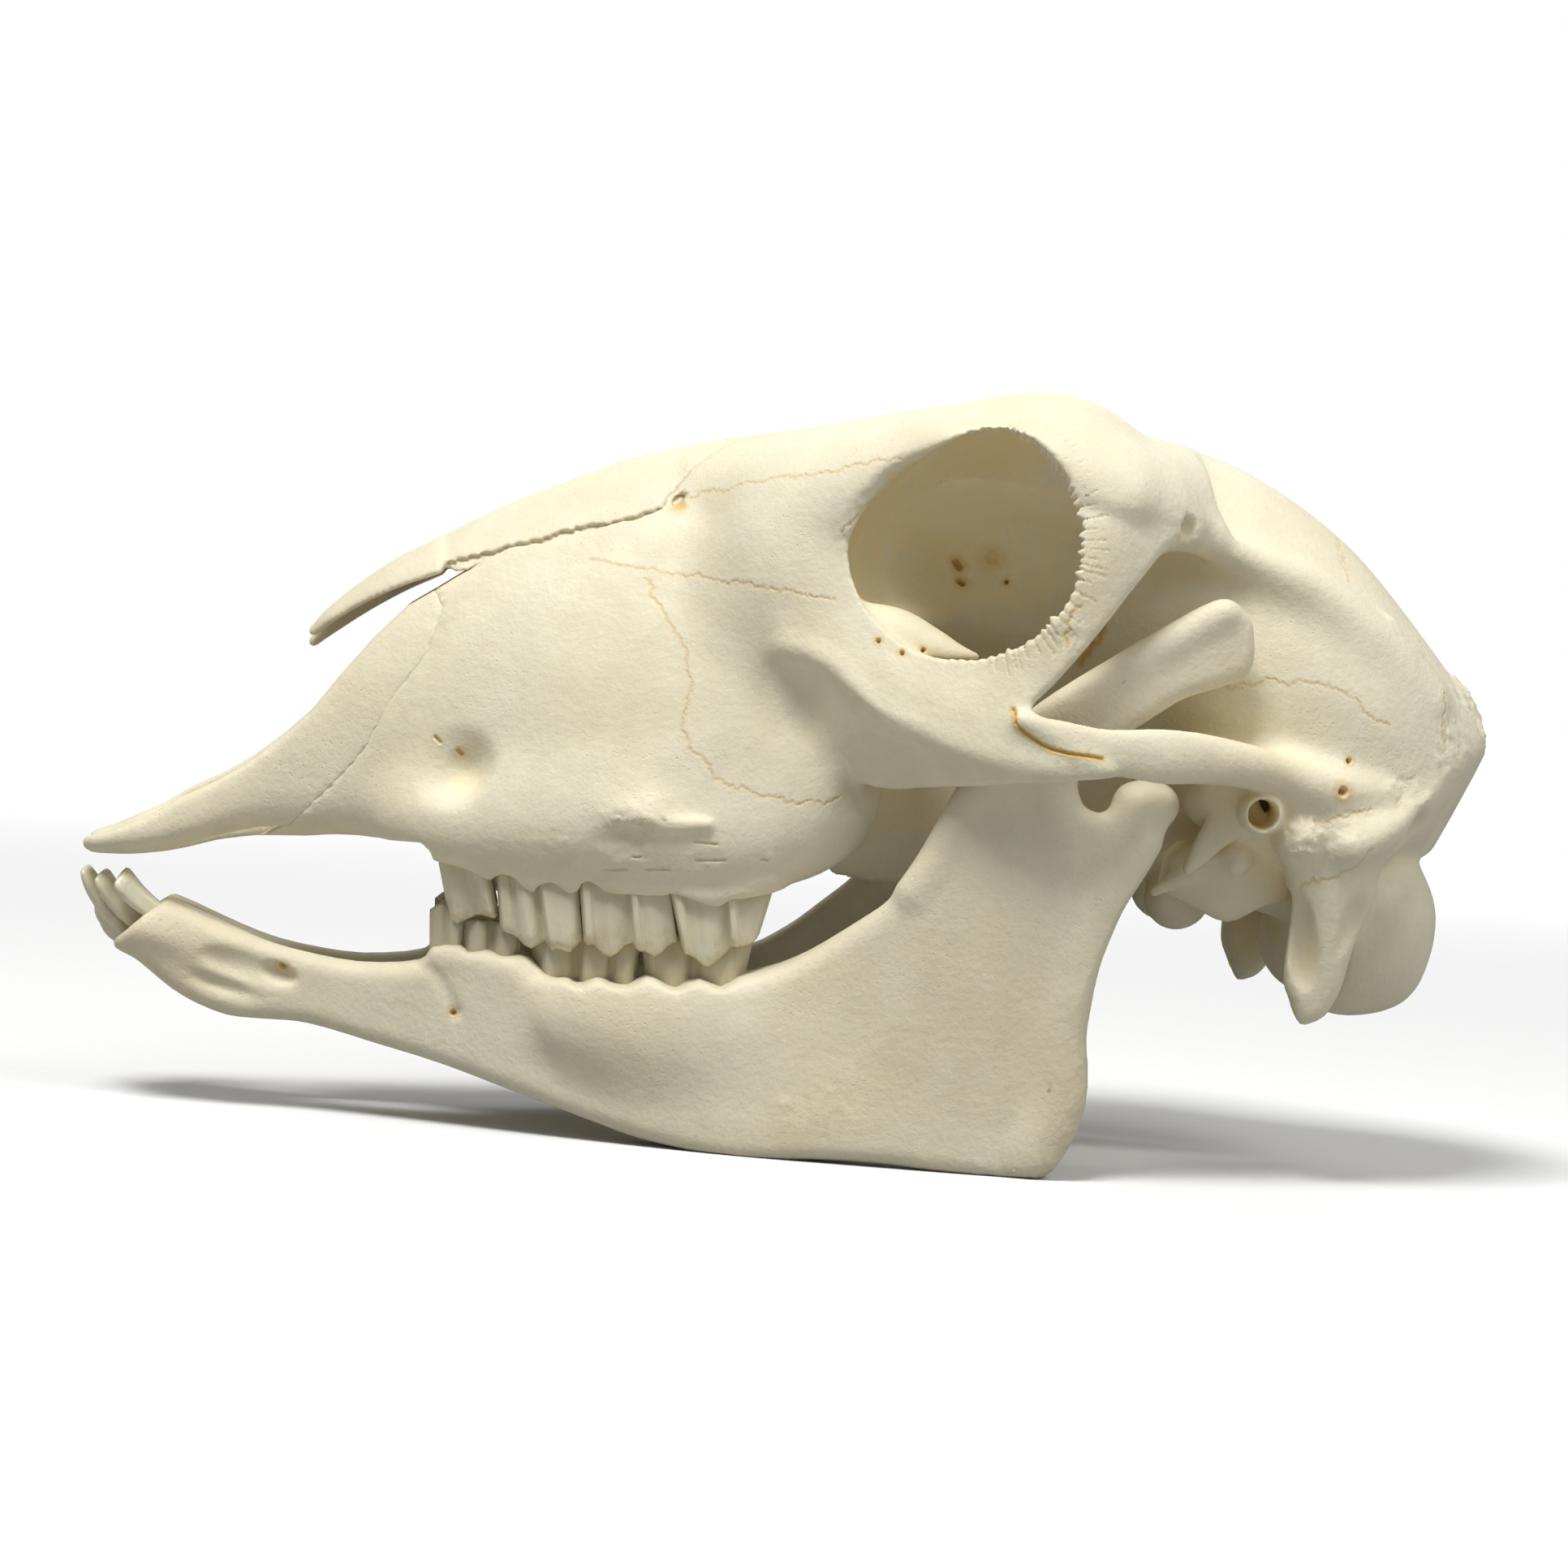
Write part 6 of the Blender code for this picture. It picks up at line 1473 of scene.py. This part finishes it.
# Each tooth: height where it starts in the bone, width, and its outer wall from front to back as
# upright lines: place at the gum, place and height of its tip, and how far it stands proud.
UPPER_TEETH = [
    (-9.0, 5.6, [
        (-56.6, -54.6, -19.7, -1.2), (-55.6, -54.0, -20.5, -0.2), (-54.6, -53.2, -20.6, 0.5),
        (-53.4, -51.9, -20.0, 0.1), (-52.4, -50.1, -19.1, -0.5), (-51.4, -48.8, -19.2, 0.1),
        (-50.3, -47.9, -19.5, 0.4), (-49.3, -47.2, -19.5, -0.2), (-48.5, -46.8, -19.2, -1.2)]),
    (-11.2, 8.0, [
        (-47.1, -46.4, -21.4, -1.0), (-46.5, -45.7, -21.7, 0.35), (-45.6, -44.6, -22.0, 0.2),
        (-44.7, -43.5, -22.8, -0.4), (-44.1, -42.6, -23.7, 0.1), (-43.2, -41.5, -24.2, 0.45),
        (-42.1, -40.5, -23.6, 0.0), (-41.1, -39.3, -23.1, -1.0), (-40.6, -38.9, -23.9, -0.3),
        (-40.0, -38.2, -24.4, 0.8), (-38.9, -37.3, -24.1, 0.65), (-37.6, -36.2, -24.5, 0.5),
        (-36.5, -35.3, -24.6, 0.4), (-35.2, -34.3, -23.6, 0.0), (-34.2, -33.4, -22.8, -1.1)]),
    (-11.8, 10.2, [
        (-34.1, -33.2, -23.0, -0.9), (-33.3, -32.6, -23.4, 0.95), (-32.6, -31.9, -23.3, 0.85),
        (-31.7, -31.3, -23.7, 0.15), (-30.5, -30.1, -24.9, -0.05), (-29.2, -29.1, -25.3, 0.2),
        (-28.0, -28.0, -24.8, -0.1), (-26.9, -26.7, -23.4, -0.5), (-26.3, -25.5, -23.0, -0.8),
        (-25.9, -24.9, -24.0, 0.7), (-25.3, -24.2, -24.3, 0.8), (-24.6, -23.5, -24.3, 0.0),
        (-23.3, -22.1, -25.1, 0.1), (-22.1, -21.0, -24.6, -0.1), (-20.9, -20.0, -23.5, -0.4),
        (-20.1, -19.0, -22.9, -0.6), (-19.9, -18.5, -23.1, -1.0)]),
    (-13.0, 11.4, [
        (-20.1, -17.6, -24.4, -0.9), (-19.4, -17.1, -24.7, 0.95), (-18.5, -16.5, -24.8, 0.8),
        (-17.5, -15.6, -25.5, 0.0), (-16.0, -14.5, -26.5, 0.0), (-14.5, -13.6, -26.7, 0.2),
        (-12.9, -12.3, -25.9, 0.0), (-11.6, -11.0, -24.7, -0.5), (-11.0, -10.2, -23.9, -0.7),
        (-10.6, -9.7, -23.4, 0.8), (-9.9, -9.1, -23.6, 0.75), (-9.1, -8.3, -23.6, 0.0),
        (-7.3, -7.4, -23.4, -0.05), (-5.5, -6.5, -22.9, -0.3), (-4.0, -5.9, -22.3, -0.8),
        (-2.8, -5.4, -21.5, -1.6)]),
]
LOWER_TEETH = [
    (-26.5, 4.0, [
        (-57.8, -57.7, -18.7, -0.9), (-56.9, -56.9, -18.1, 0.1), (-56.0, -56.0, -17.5, 0.3),
        (-55.2, -54.9, -17.3, -0.2), (-54.3, -54.0, -17.5, 0.2), (-53.5, -53.1, -18.3, 0.1),
        (-52.9, -52.2, -19.4, -1.0)]),
    (-28.0, 5.0, [
        (-52.0, -52.3, -20.2, -1.2), (-51.2, -51.1, -20.0, 0.1), (-50.2, -50.0, -19.8, 0.5),
        (-49.2, -48.8, -20.0, 0.1), (-48.3, -47.7, -20.2, -1.0), (-47.2, -46.7, -20.2, 0.1),
        (-45.9, -45.4, -20.2, 0.5), (-44.5, -44.1, -20.5, 0.1), (-43.5, -43.1, -21.0, -1.2)]),
    (-31.6, 6.4, [
        (-40.5, -41.8, -21.9, -1.3), (-39.5, -40.3, -21.9, 0.1), (-37.7, -38.0, -21.6, 0.65),
        (-35.9, -35.6, -21.9, 0.2), (-34.6, -34.1, -22.1, -0.9), (-33.3, -32.5, -21.9, 0.3),
        (-31.8, -30.7, -21.9, 0.55), (-30.2, -29.1, -22.1, 0.0), (-29.5, -28.3, -22.1, -0.9),
        (-28.2, -27.1, -21.9, 0.3), (-26.9, -26.0, -21.9, 0.55), (-25.9, -24.8, -22.1, 0.0),
        (-25.2, -24.2, -22.4, -1.3)]),
    (-32.0, 6.8, [
        (-23.2, -24.1, -21.8, -1.3), (-22.0, -22.5, -21.6, 0.1), (-20.0, -20.2, -21.3, 0.65),
        (-17.7, -17.4, -21.6, 0.1), (-16.0, -15.5, -22.1, -1.1), (-14.3, -13.6, -21.8, 0.1),
        (-12.0, -11.0, -21.6, 0.65), (-9.7, -8.2, -21.8, 0.2), (-8.4, -6.4, -22.6, -1.3)]),
]
ARCADE = {
    # distance of the outer wall of the teeth from the middle plane
    True: fair([-57, -47, -34, -19.5, -3], [17.2, 21.4, 25.0, 27.6, 28.2]),
    False: fair([-57.5, -52, -42, -24, -6], [16.2, 17.6, 19.9, 23.4, 25.4]),
}
FRONT_TEETH = [
    # neck and tip, half width and half thickness of the crown and how far it faces forwards
    ((-106.9, 2.3, -23.1), (-113.8, 2.4, -12.7), 2.0, 1.45, 0.35),
    ((-104.6, 5.0, -21.9), (-110.9, 5.8, -13.4), 2.3, 1.5, 0.65),
    ((-101.5, 7.4, -19.8), (-107.4, 9.2, -13.4), 2.4, 1.5, 0.9),
]
FAR_FRONT_TEETH = [
    ((-107.8, 2.6, -24.0), (-112.5, 3.4, -18.6), 2.0, 1.2, 0.35),
    ((-106.9, 5.4, -25.4), (-112.2, 7.6, -20.9), 2.1, 1.2, 0.6),
]
ROOT = 5.0
WALL_STEPS = 5
INNER_LOWER = 0.36
CROWN_HOLLOW = 1.6


def loft(mesh, rings, shares, hollow=0.0):
    """A closed skin over rings of points, each marked with its share of the tooth's height."""
    layer = mesh.verts.layers.float.get("along") or mesh.verts.layers.float.new("along")
    made = []
    for ring, share in zip(rings, shares):
        made.append([mesh.verts.new(Vector(point)) for point in ring])
        for vert in made[-1]:
            vert[layer] = share
    for low, high in zip(made, made[1:]):
        for a, b, c, d in zip(low, low[1:] + low[:1], high[1:] + high[:1], high):
            mesh.faces.new((a, b, c, d))
    for ring, order in ((made[0], -1), (made[-1], 1)):
        centre = mesh.verts.new(sum((vert.co for vert in ring), Vector()) / len(ring))
        centre.co.z += hollow if order > 0 else 0
        centre[layer] = ring[0][layer]
        for a, b in zip(ring, ring[1:] + ring[:1]):
            mesh.faces.new((a, b, centre)[::order])


def wall(lines):
    """The outer wall's upright lines, with smooth ones set between them."""
    lines = np.array(lines)
    at = np.arange(len(lines))
    fine = np.linspace(0, len(lines) - 1, (len(lines) - 1) * WALL_STEPS + 1)
    columns = [fair(at, column)(fine) for column in lines.T]
    columns[2] = np.interp(fine, at, lines[:, 2])
    return list(zip(*columns))


def cheek_tooth(mesh, row, upper):
    """One cheek tooth: a ribbed outer wall, rounded ends and a lower inner wall."""
    gum, width, lines = row
    stations = wall(lines)
    inner = stations[::-3]
    middle = (stations[0][0] + stations[-1][0]) / 2
    way = -1 if upper else 1
    outer = ARCADE[upper]
    shares = (-0.8, -0.3, 0.0, 0.1, 0.2, 0.32, 0.45, 0.6, 0.75, 0.87, 0.95, 1.0)
    swell = (-1.8, -1.3, -0.8, -0.4, -0.1, 0.1, 0.15, 0.1, -0.05, -0.25, -0.45, -0.9)
    rings = []
    for share, fuller in zip(shares, swell):
        at = min(max(share, 0), 1)
        drawn_in = 0.12 * max(0.0, 0.15 - share) ** 0.5

        def place(station, across, relief):
            low_x, tip_x, tip, _ = station
            end = tip - way * INNER_LOWER * width * across
            z = gum + (end - gum) * share if share > 0 else gum + way * ROOT * share / 0.8
            x = low_x + (tip_x - low_x) * at
            x = x + (middle - x) * drawn_in
            depth = float(outer(x)) + fuller * (1 - across) + relief - (width - 0.5) * across
            return x, depth - min(fuller, 0) * 0.8 * across, z

        shown = min(1.25, max(0.0, (share + 0.1) * 5)) * (0.6 if share == 1.0 else 1.0)
        ring = [place(station, 0.0, station[3] * shown) for station in stations]
        ring += [place(stations[-1], across, 0.0) for across in (0.3, 0.7)]
        ring += [place(station, 1.0, 0.4 * station[3]) for station in inner]
        ring += [place(stations[0], across, 0.0) for across in (0.7, 0.3)]
        rings.append(ring if upper else ring[::-1])
    loft(mesh, rings, shares, -way * CROWN_HOLLOW)


def front_tooth(mesh, neck, tip, half, thickness, forwards):
    """One of the front teeth: a stout root and a spoon-shaped crown that widens to its edge."""
    neck, tip = Vector(neck), Vector(tip)
    along = (tip - neck).normalized()
    side = Vector((-forwards, 1, 0)).normalized()
    side = (side - along * side.dot(along)).normalized()
    thick = along.cross(side)
    if thick.z > 0:
        thick.negate()
    rings, shares = [], (-0.35, 0.0, 0.12, 0.3, 0.5, 0.68, 0.82, 0.92, 0.98, 1.0)
    wide = (0.6, 0.74, 0.80, 0.88, 0.96, 1.04, 1.08, 1.06, 0.9, 0.55)
    deep = (0.8, 1.0, 1.05, 1.1, 1.05, 1.0, 0.9, 0.72, 0.5, 0.25)
    for share, across, through in zip(shares, wide, deep):
        centre = neck + (tip - neck) * share + thick * (0.75 * math.sin(math.pi * max(share, 0)))
        rings.append([centre + side * math.cos(t) * half * across
                      + thick * math.sin(t) * thickness * through * (1.0 + 0.14 * math.cos(4 * t))
                      for t in (2 * math.pi * k / 24 for k in range(24))])
    loft(mesh, rings, shares)


def enamel_finish(name, pale, warm):
    made = bpy.data.materials.new(name)
    made.use_nodes = True
    nodes, links = made.node_tree.nodes, made.node_tree.links
    shader = nodes["Principled BSDF"]
    shader.inputs["Coat Weight"].default_value = 0.25
    shader.inputs["Coat Roughness"].default_value = 0.15
    shader.inputs["Subsurface Weight"].default_value = 0.15
    shader.inputs["Subsurface Scale"].default_value = 0.0015
    where = nodes.new("ShaderNodeTexCoord").outputs["Object"]
    streak = nodes.new("ShaderNodeMapping")
    streak.inputs["Scale"].default_value = (1, 1, 0.15)
    links.new(where, streak.inputs["Vector"])
    streaks = value_at(nodes, "streaks", 700, 4, 0.6, streak.outputs["Vector"])
    clouds = value_at(nodes, "clouds", 160, 3, 0.5, where)
    colour = mixed(nodes, ranged(nodes, clouds, 0.35, 0.7), pale, warm)
    colour = mixed(nodes, ranged(nodes, streaks, 0.5, 0.85, 0.0, 0.22), colour, (0.50, 0.43, 0.26))
    # yellower dentine at the gum, and wear and scale towards the chewing edge
    gum = ranged(nodes, painted(nodes, "along"), 0.22, 0.0, 0.0, 0.55)
    colour = mixed(nodes, gum, colour, (0.60, 0.50, 0.30))
    worn = worked(nodes, "MULTIPLY", ranged(nodes, painted(nodes, "along"), 0.6, 1.0),
                  ranged(nodes, value_at(nodes, "scale", 420, 4, 0.6, where), 0.48, 0.62, 0.0, 0.6))
    colour = mixed(nodes, worn, colour, (0.52, 0.42, 0.24))
    links.new(colour, shader.inputs["Base Color"])
    links.new(ranged(nodes, streaks, 0.3, 0.7, 0.24, 0.42), shader.inputs["Roughness"])
    bump = nodes.new("ShaderNodeBump")
    bump.inputs["Distance"].default_value = 0.0002
    bump.inputs["Strength"].default_value = 0.4
    links.new(streaks, bump.inputs["Height"])
    links.new(bump.outputs["Normal"], shader.inputs["Normal"])
    return made


enamel = enamel_finish("tooth enamel", (0.77, 0.73, 0.54), (0.68, 0.63, 0.44))
# the lower teeth's enamel is a darker copy of the upper's: painted shade, as they stand behind and below
# the upper teeth
shaded_lower_enamel = enamel_finish("lower tooth enamel in painted shade", (0.60, 0.56, 0.40), (0.52, 0.47, 0.32))


def tooth(name, grow, node, left, twin=False, finish=enamel):
    """One tooth as a piece of its own, stood in its jaw."""
    mesh = bmesh.new()
    grow(mesh)
    bmesh.ops.recalc_face_normals(mesh, faces=mesh.faces)
    data = bpy.data.meshes.new(name)
    mesh.to_mesh(data)
    mesh.free()
    finish_bone(linked(name, data), finish, node, left, twin)


JAW_SIDES = (("left", "mandible_left", True, False), ("right", "mandible_right", False, True))
SKULL_SIDES = (("left", "cranium", True, False), ("right", "cranium", False, False))
# the lower teeth take the enamel with painted shade
for level, rows, sides, finish in (("upper", UPPER_TEETH, SKULL_SIDES, enamel),
                                   ("lower", LOWER_TEETH, JAW_SIDES, shaded_lower_enamel)):
    for k, row in enumerate(rows):
        for side, node, left, twin in sides:
            tooth("%s_tooth_%s_%d" % (level, side, k + 1),
                  lambda mesh: cheek_tooth(mesh, row, level == "upper"), node, left, twin, finish)
for k, sizes in enumerate(FRONT_TEETH):
    tooth("front_tooth_left_%d" % (k + 1), lambda mesh: front_tooth(mesh, *sizes), "mandible_left", True)
for k, sizes in enumerate(FAR_FRONT_TEETH):
    tooth("front_tooth_right_%d" % (k + 1), lambda mesh: front_tooth(mesh, *sizes), "mandible_right", False,
          True)


# Floor
# A plain pale sheet under the skull, which isn't part of it. Fine fibres, matt, and faded out
# into the white surroundings.

bpy.ops.mesh.primitive_plane_add(size=4.0, location=(0, 0, 0))
floor = bpy.context.object
floor.name = "floor"
paper = bpy.data.materials.new("pale paper")
paper.use_nodes = True
paper_nodes = paper.node_tree.nodes
paper_where = paper_nodes.new("ShaderNodeTexCoord").outputs["Object"]
paper_tone = ranged(paper_nodes, value_at(paper_nodes, "fibre", 400, 3, 0.5, paper_where), 0.3, 0.7)
paper_colour = mixed(paper_nodes, paper_tone, (0.86, 0.86, 0.86), (0.88, 0.88, 0.87))
# it throws little light up under the jaws
paper_seen = paper_nodes.new("ShaderNodeLightPath").outputs["Is Camera Ray"]
paper_colour = mixed(paper_nodes, paper_seen, (0.35, 0.35, 0.35), paper_colour)
paper.node_tree.links.new(paper_colour, paper_nodes["Principled BSDF"].inputs["Base Color"])
paper_nodes["Principled BSDF"].inputs["Roughness"].default_value = 0.9
# the sheet fades out into the white room all round
paper_far = paper_nodes.new("ShaderNodeVectorMath")
paper_far.operation = "LENGTH"
paper.node_tree.links.new(paper_where, paper_far.inputs[0])
paper_fade = ranged(paper_nodes, paper_far.outputs["Value"], 0.25, 0.95, 1.0, 0.0)
paper.node_tree.links.new(paper_fade, paper_nodes["Principled BSDF"].inputs["Alpha"])
floor.data.materials.append(paper)


# Light and camera
# A broad soft light from above and the left, a weaker one from the right, and pale surroundings.
# The camera looks at the left side from 645 mm, a little from in front of it and from above.

EYE_DISTANCE = 645.0
EYE_AZIMUTH_DEG = -3.5
EYE_ELEVATION_DEG = 4.5
PIXELS_PER_MM = 7.5
IMAGE_PIXELS = 1932
SENSOR = 36.0
AIM_HEIGHT = 0.06

azimuth, elevation = math.radians(EYE_AZIMUTH_DEG), math.radians(EYE_ELEVATION_DEG)
backward = Vector((math.sin(azimuth) * math.cos(elevation), -math.cos(azimuth) * math.cos(elevation),
                   math.sin(elevation)))
right = Vector((math.cos(azimuth), math.sin(azimuth), 0))
up = right.cross(-backward)
facing = Matrix((right, up, backward)).transposed().to_4x4()
view = standing().to_quaternion().to_matrix().to_4x4() @ facing
view.translation = standing() @ (backward * EYE_DISTANCE)
camera = bpy.data.objects.new("camera", bpy.data.cameras.new("camera"))
camera.matrix_world = view
camera.data.sensor_width = SENSOR
camera.data.lens = SENSOR * PIXELS_PER_MM * EYE_DISTANCE / IMAGE_PIXELS
camera.data.clip_start = 0.01
bpy.context.collection.objects.link(camera)
bpy.context.scene.camera = camera


def soft_light(name, place, size, watts):
    lamp = bpy.data.lights.new(name, "AREA")
    lamp.size = size
    lamp.energy = watts
    made = bpy.data.objects.new(name, lamp)
    made.location = place
    made.rotation_euler = (Vector((0, 0, AIM_HEIGHT)) - Vector(place)).to_track_quat("-Z", "Y").to_euler()
    bpy.context.collection.objects.link(made)


soft_light("key", (-0.35, -0.58, 1.32), 0.45, 19)
soft_light("fill", (0.70, -0.65, 1.0), 0.8, 6)
soft_light("back", (0.1, 0.9, 0.8), 1.0, 3)
surroundings = bpy.data.worlds.new("surroundings")
surroundings.use_nodes = True
room_nodes, room_links = surroundings.node_tree.nodes, surroundings.node_tree.links
room = room_nodes["Background"]
room.inputs["Color"].default_value = (1, 1, 1, 1)
seen = room_nodes.new("ShaderNodeLightPath").outputs["Is Camera Ray"]
room_links.new(ranged(room_nodes, seen, 0.0, 1.0, 0.2, 1.0), room.inputs["Strength"])
bpy.context.scene.world = surroundings
bpy.context.scene.view_settings.view_transform = "Standard"
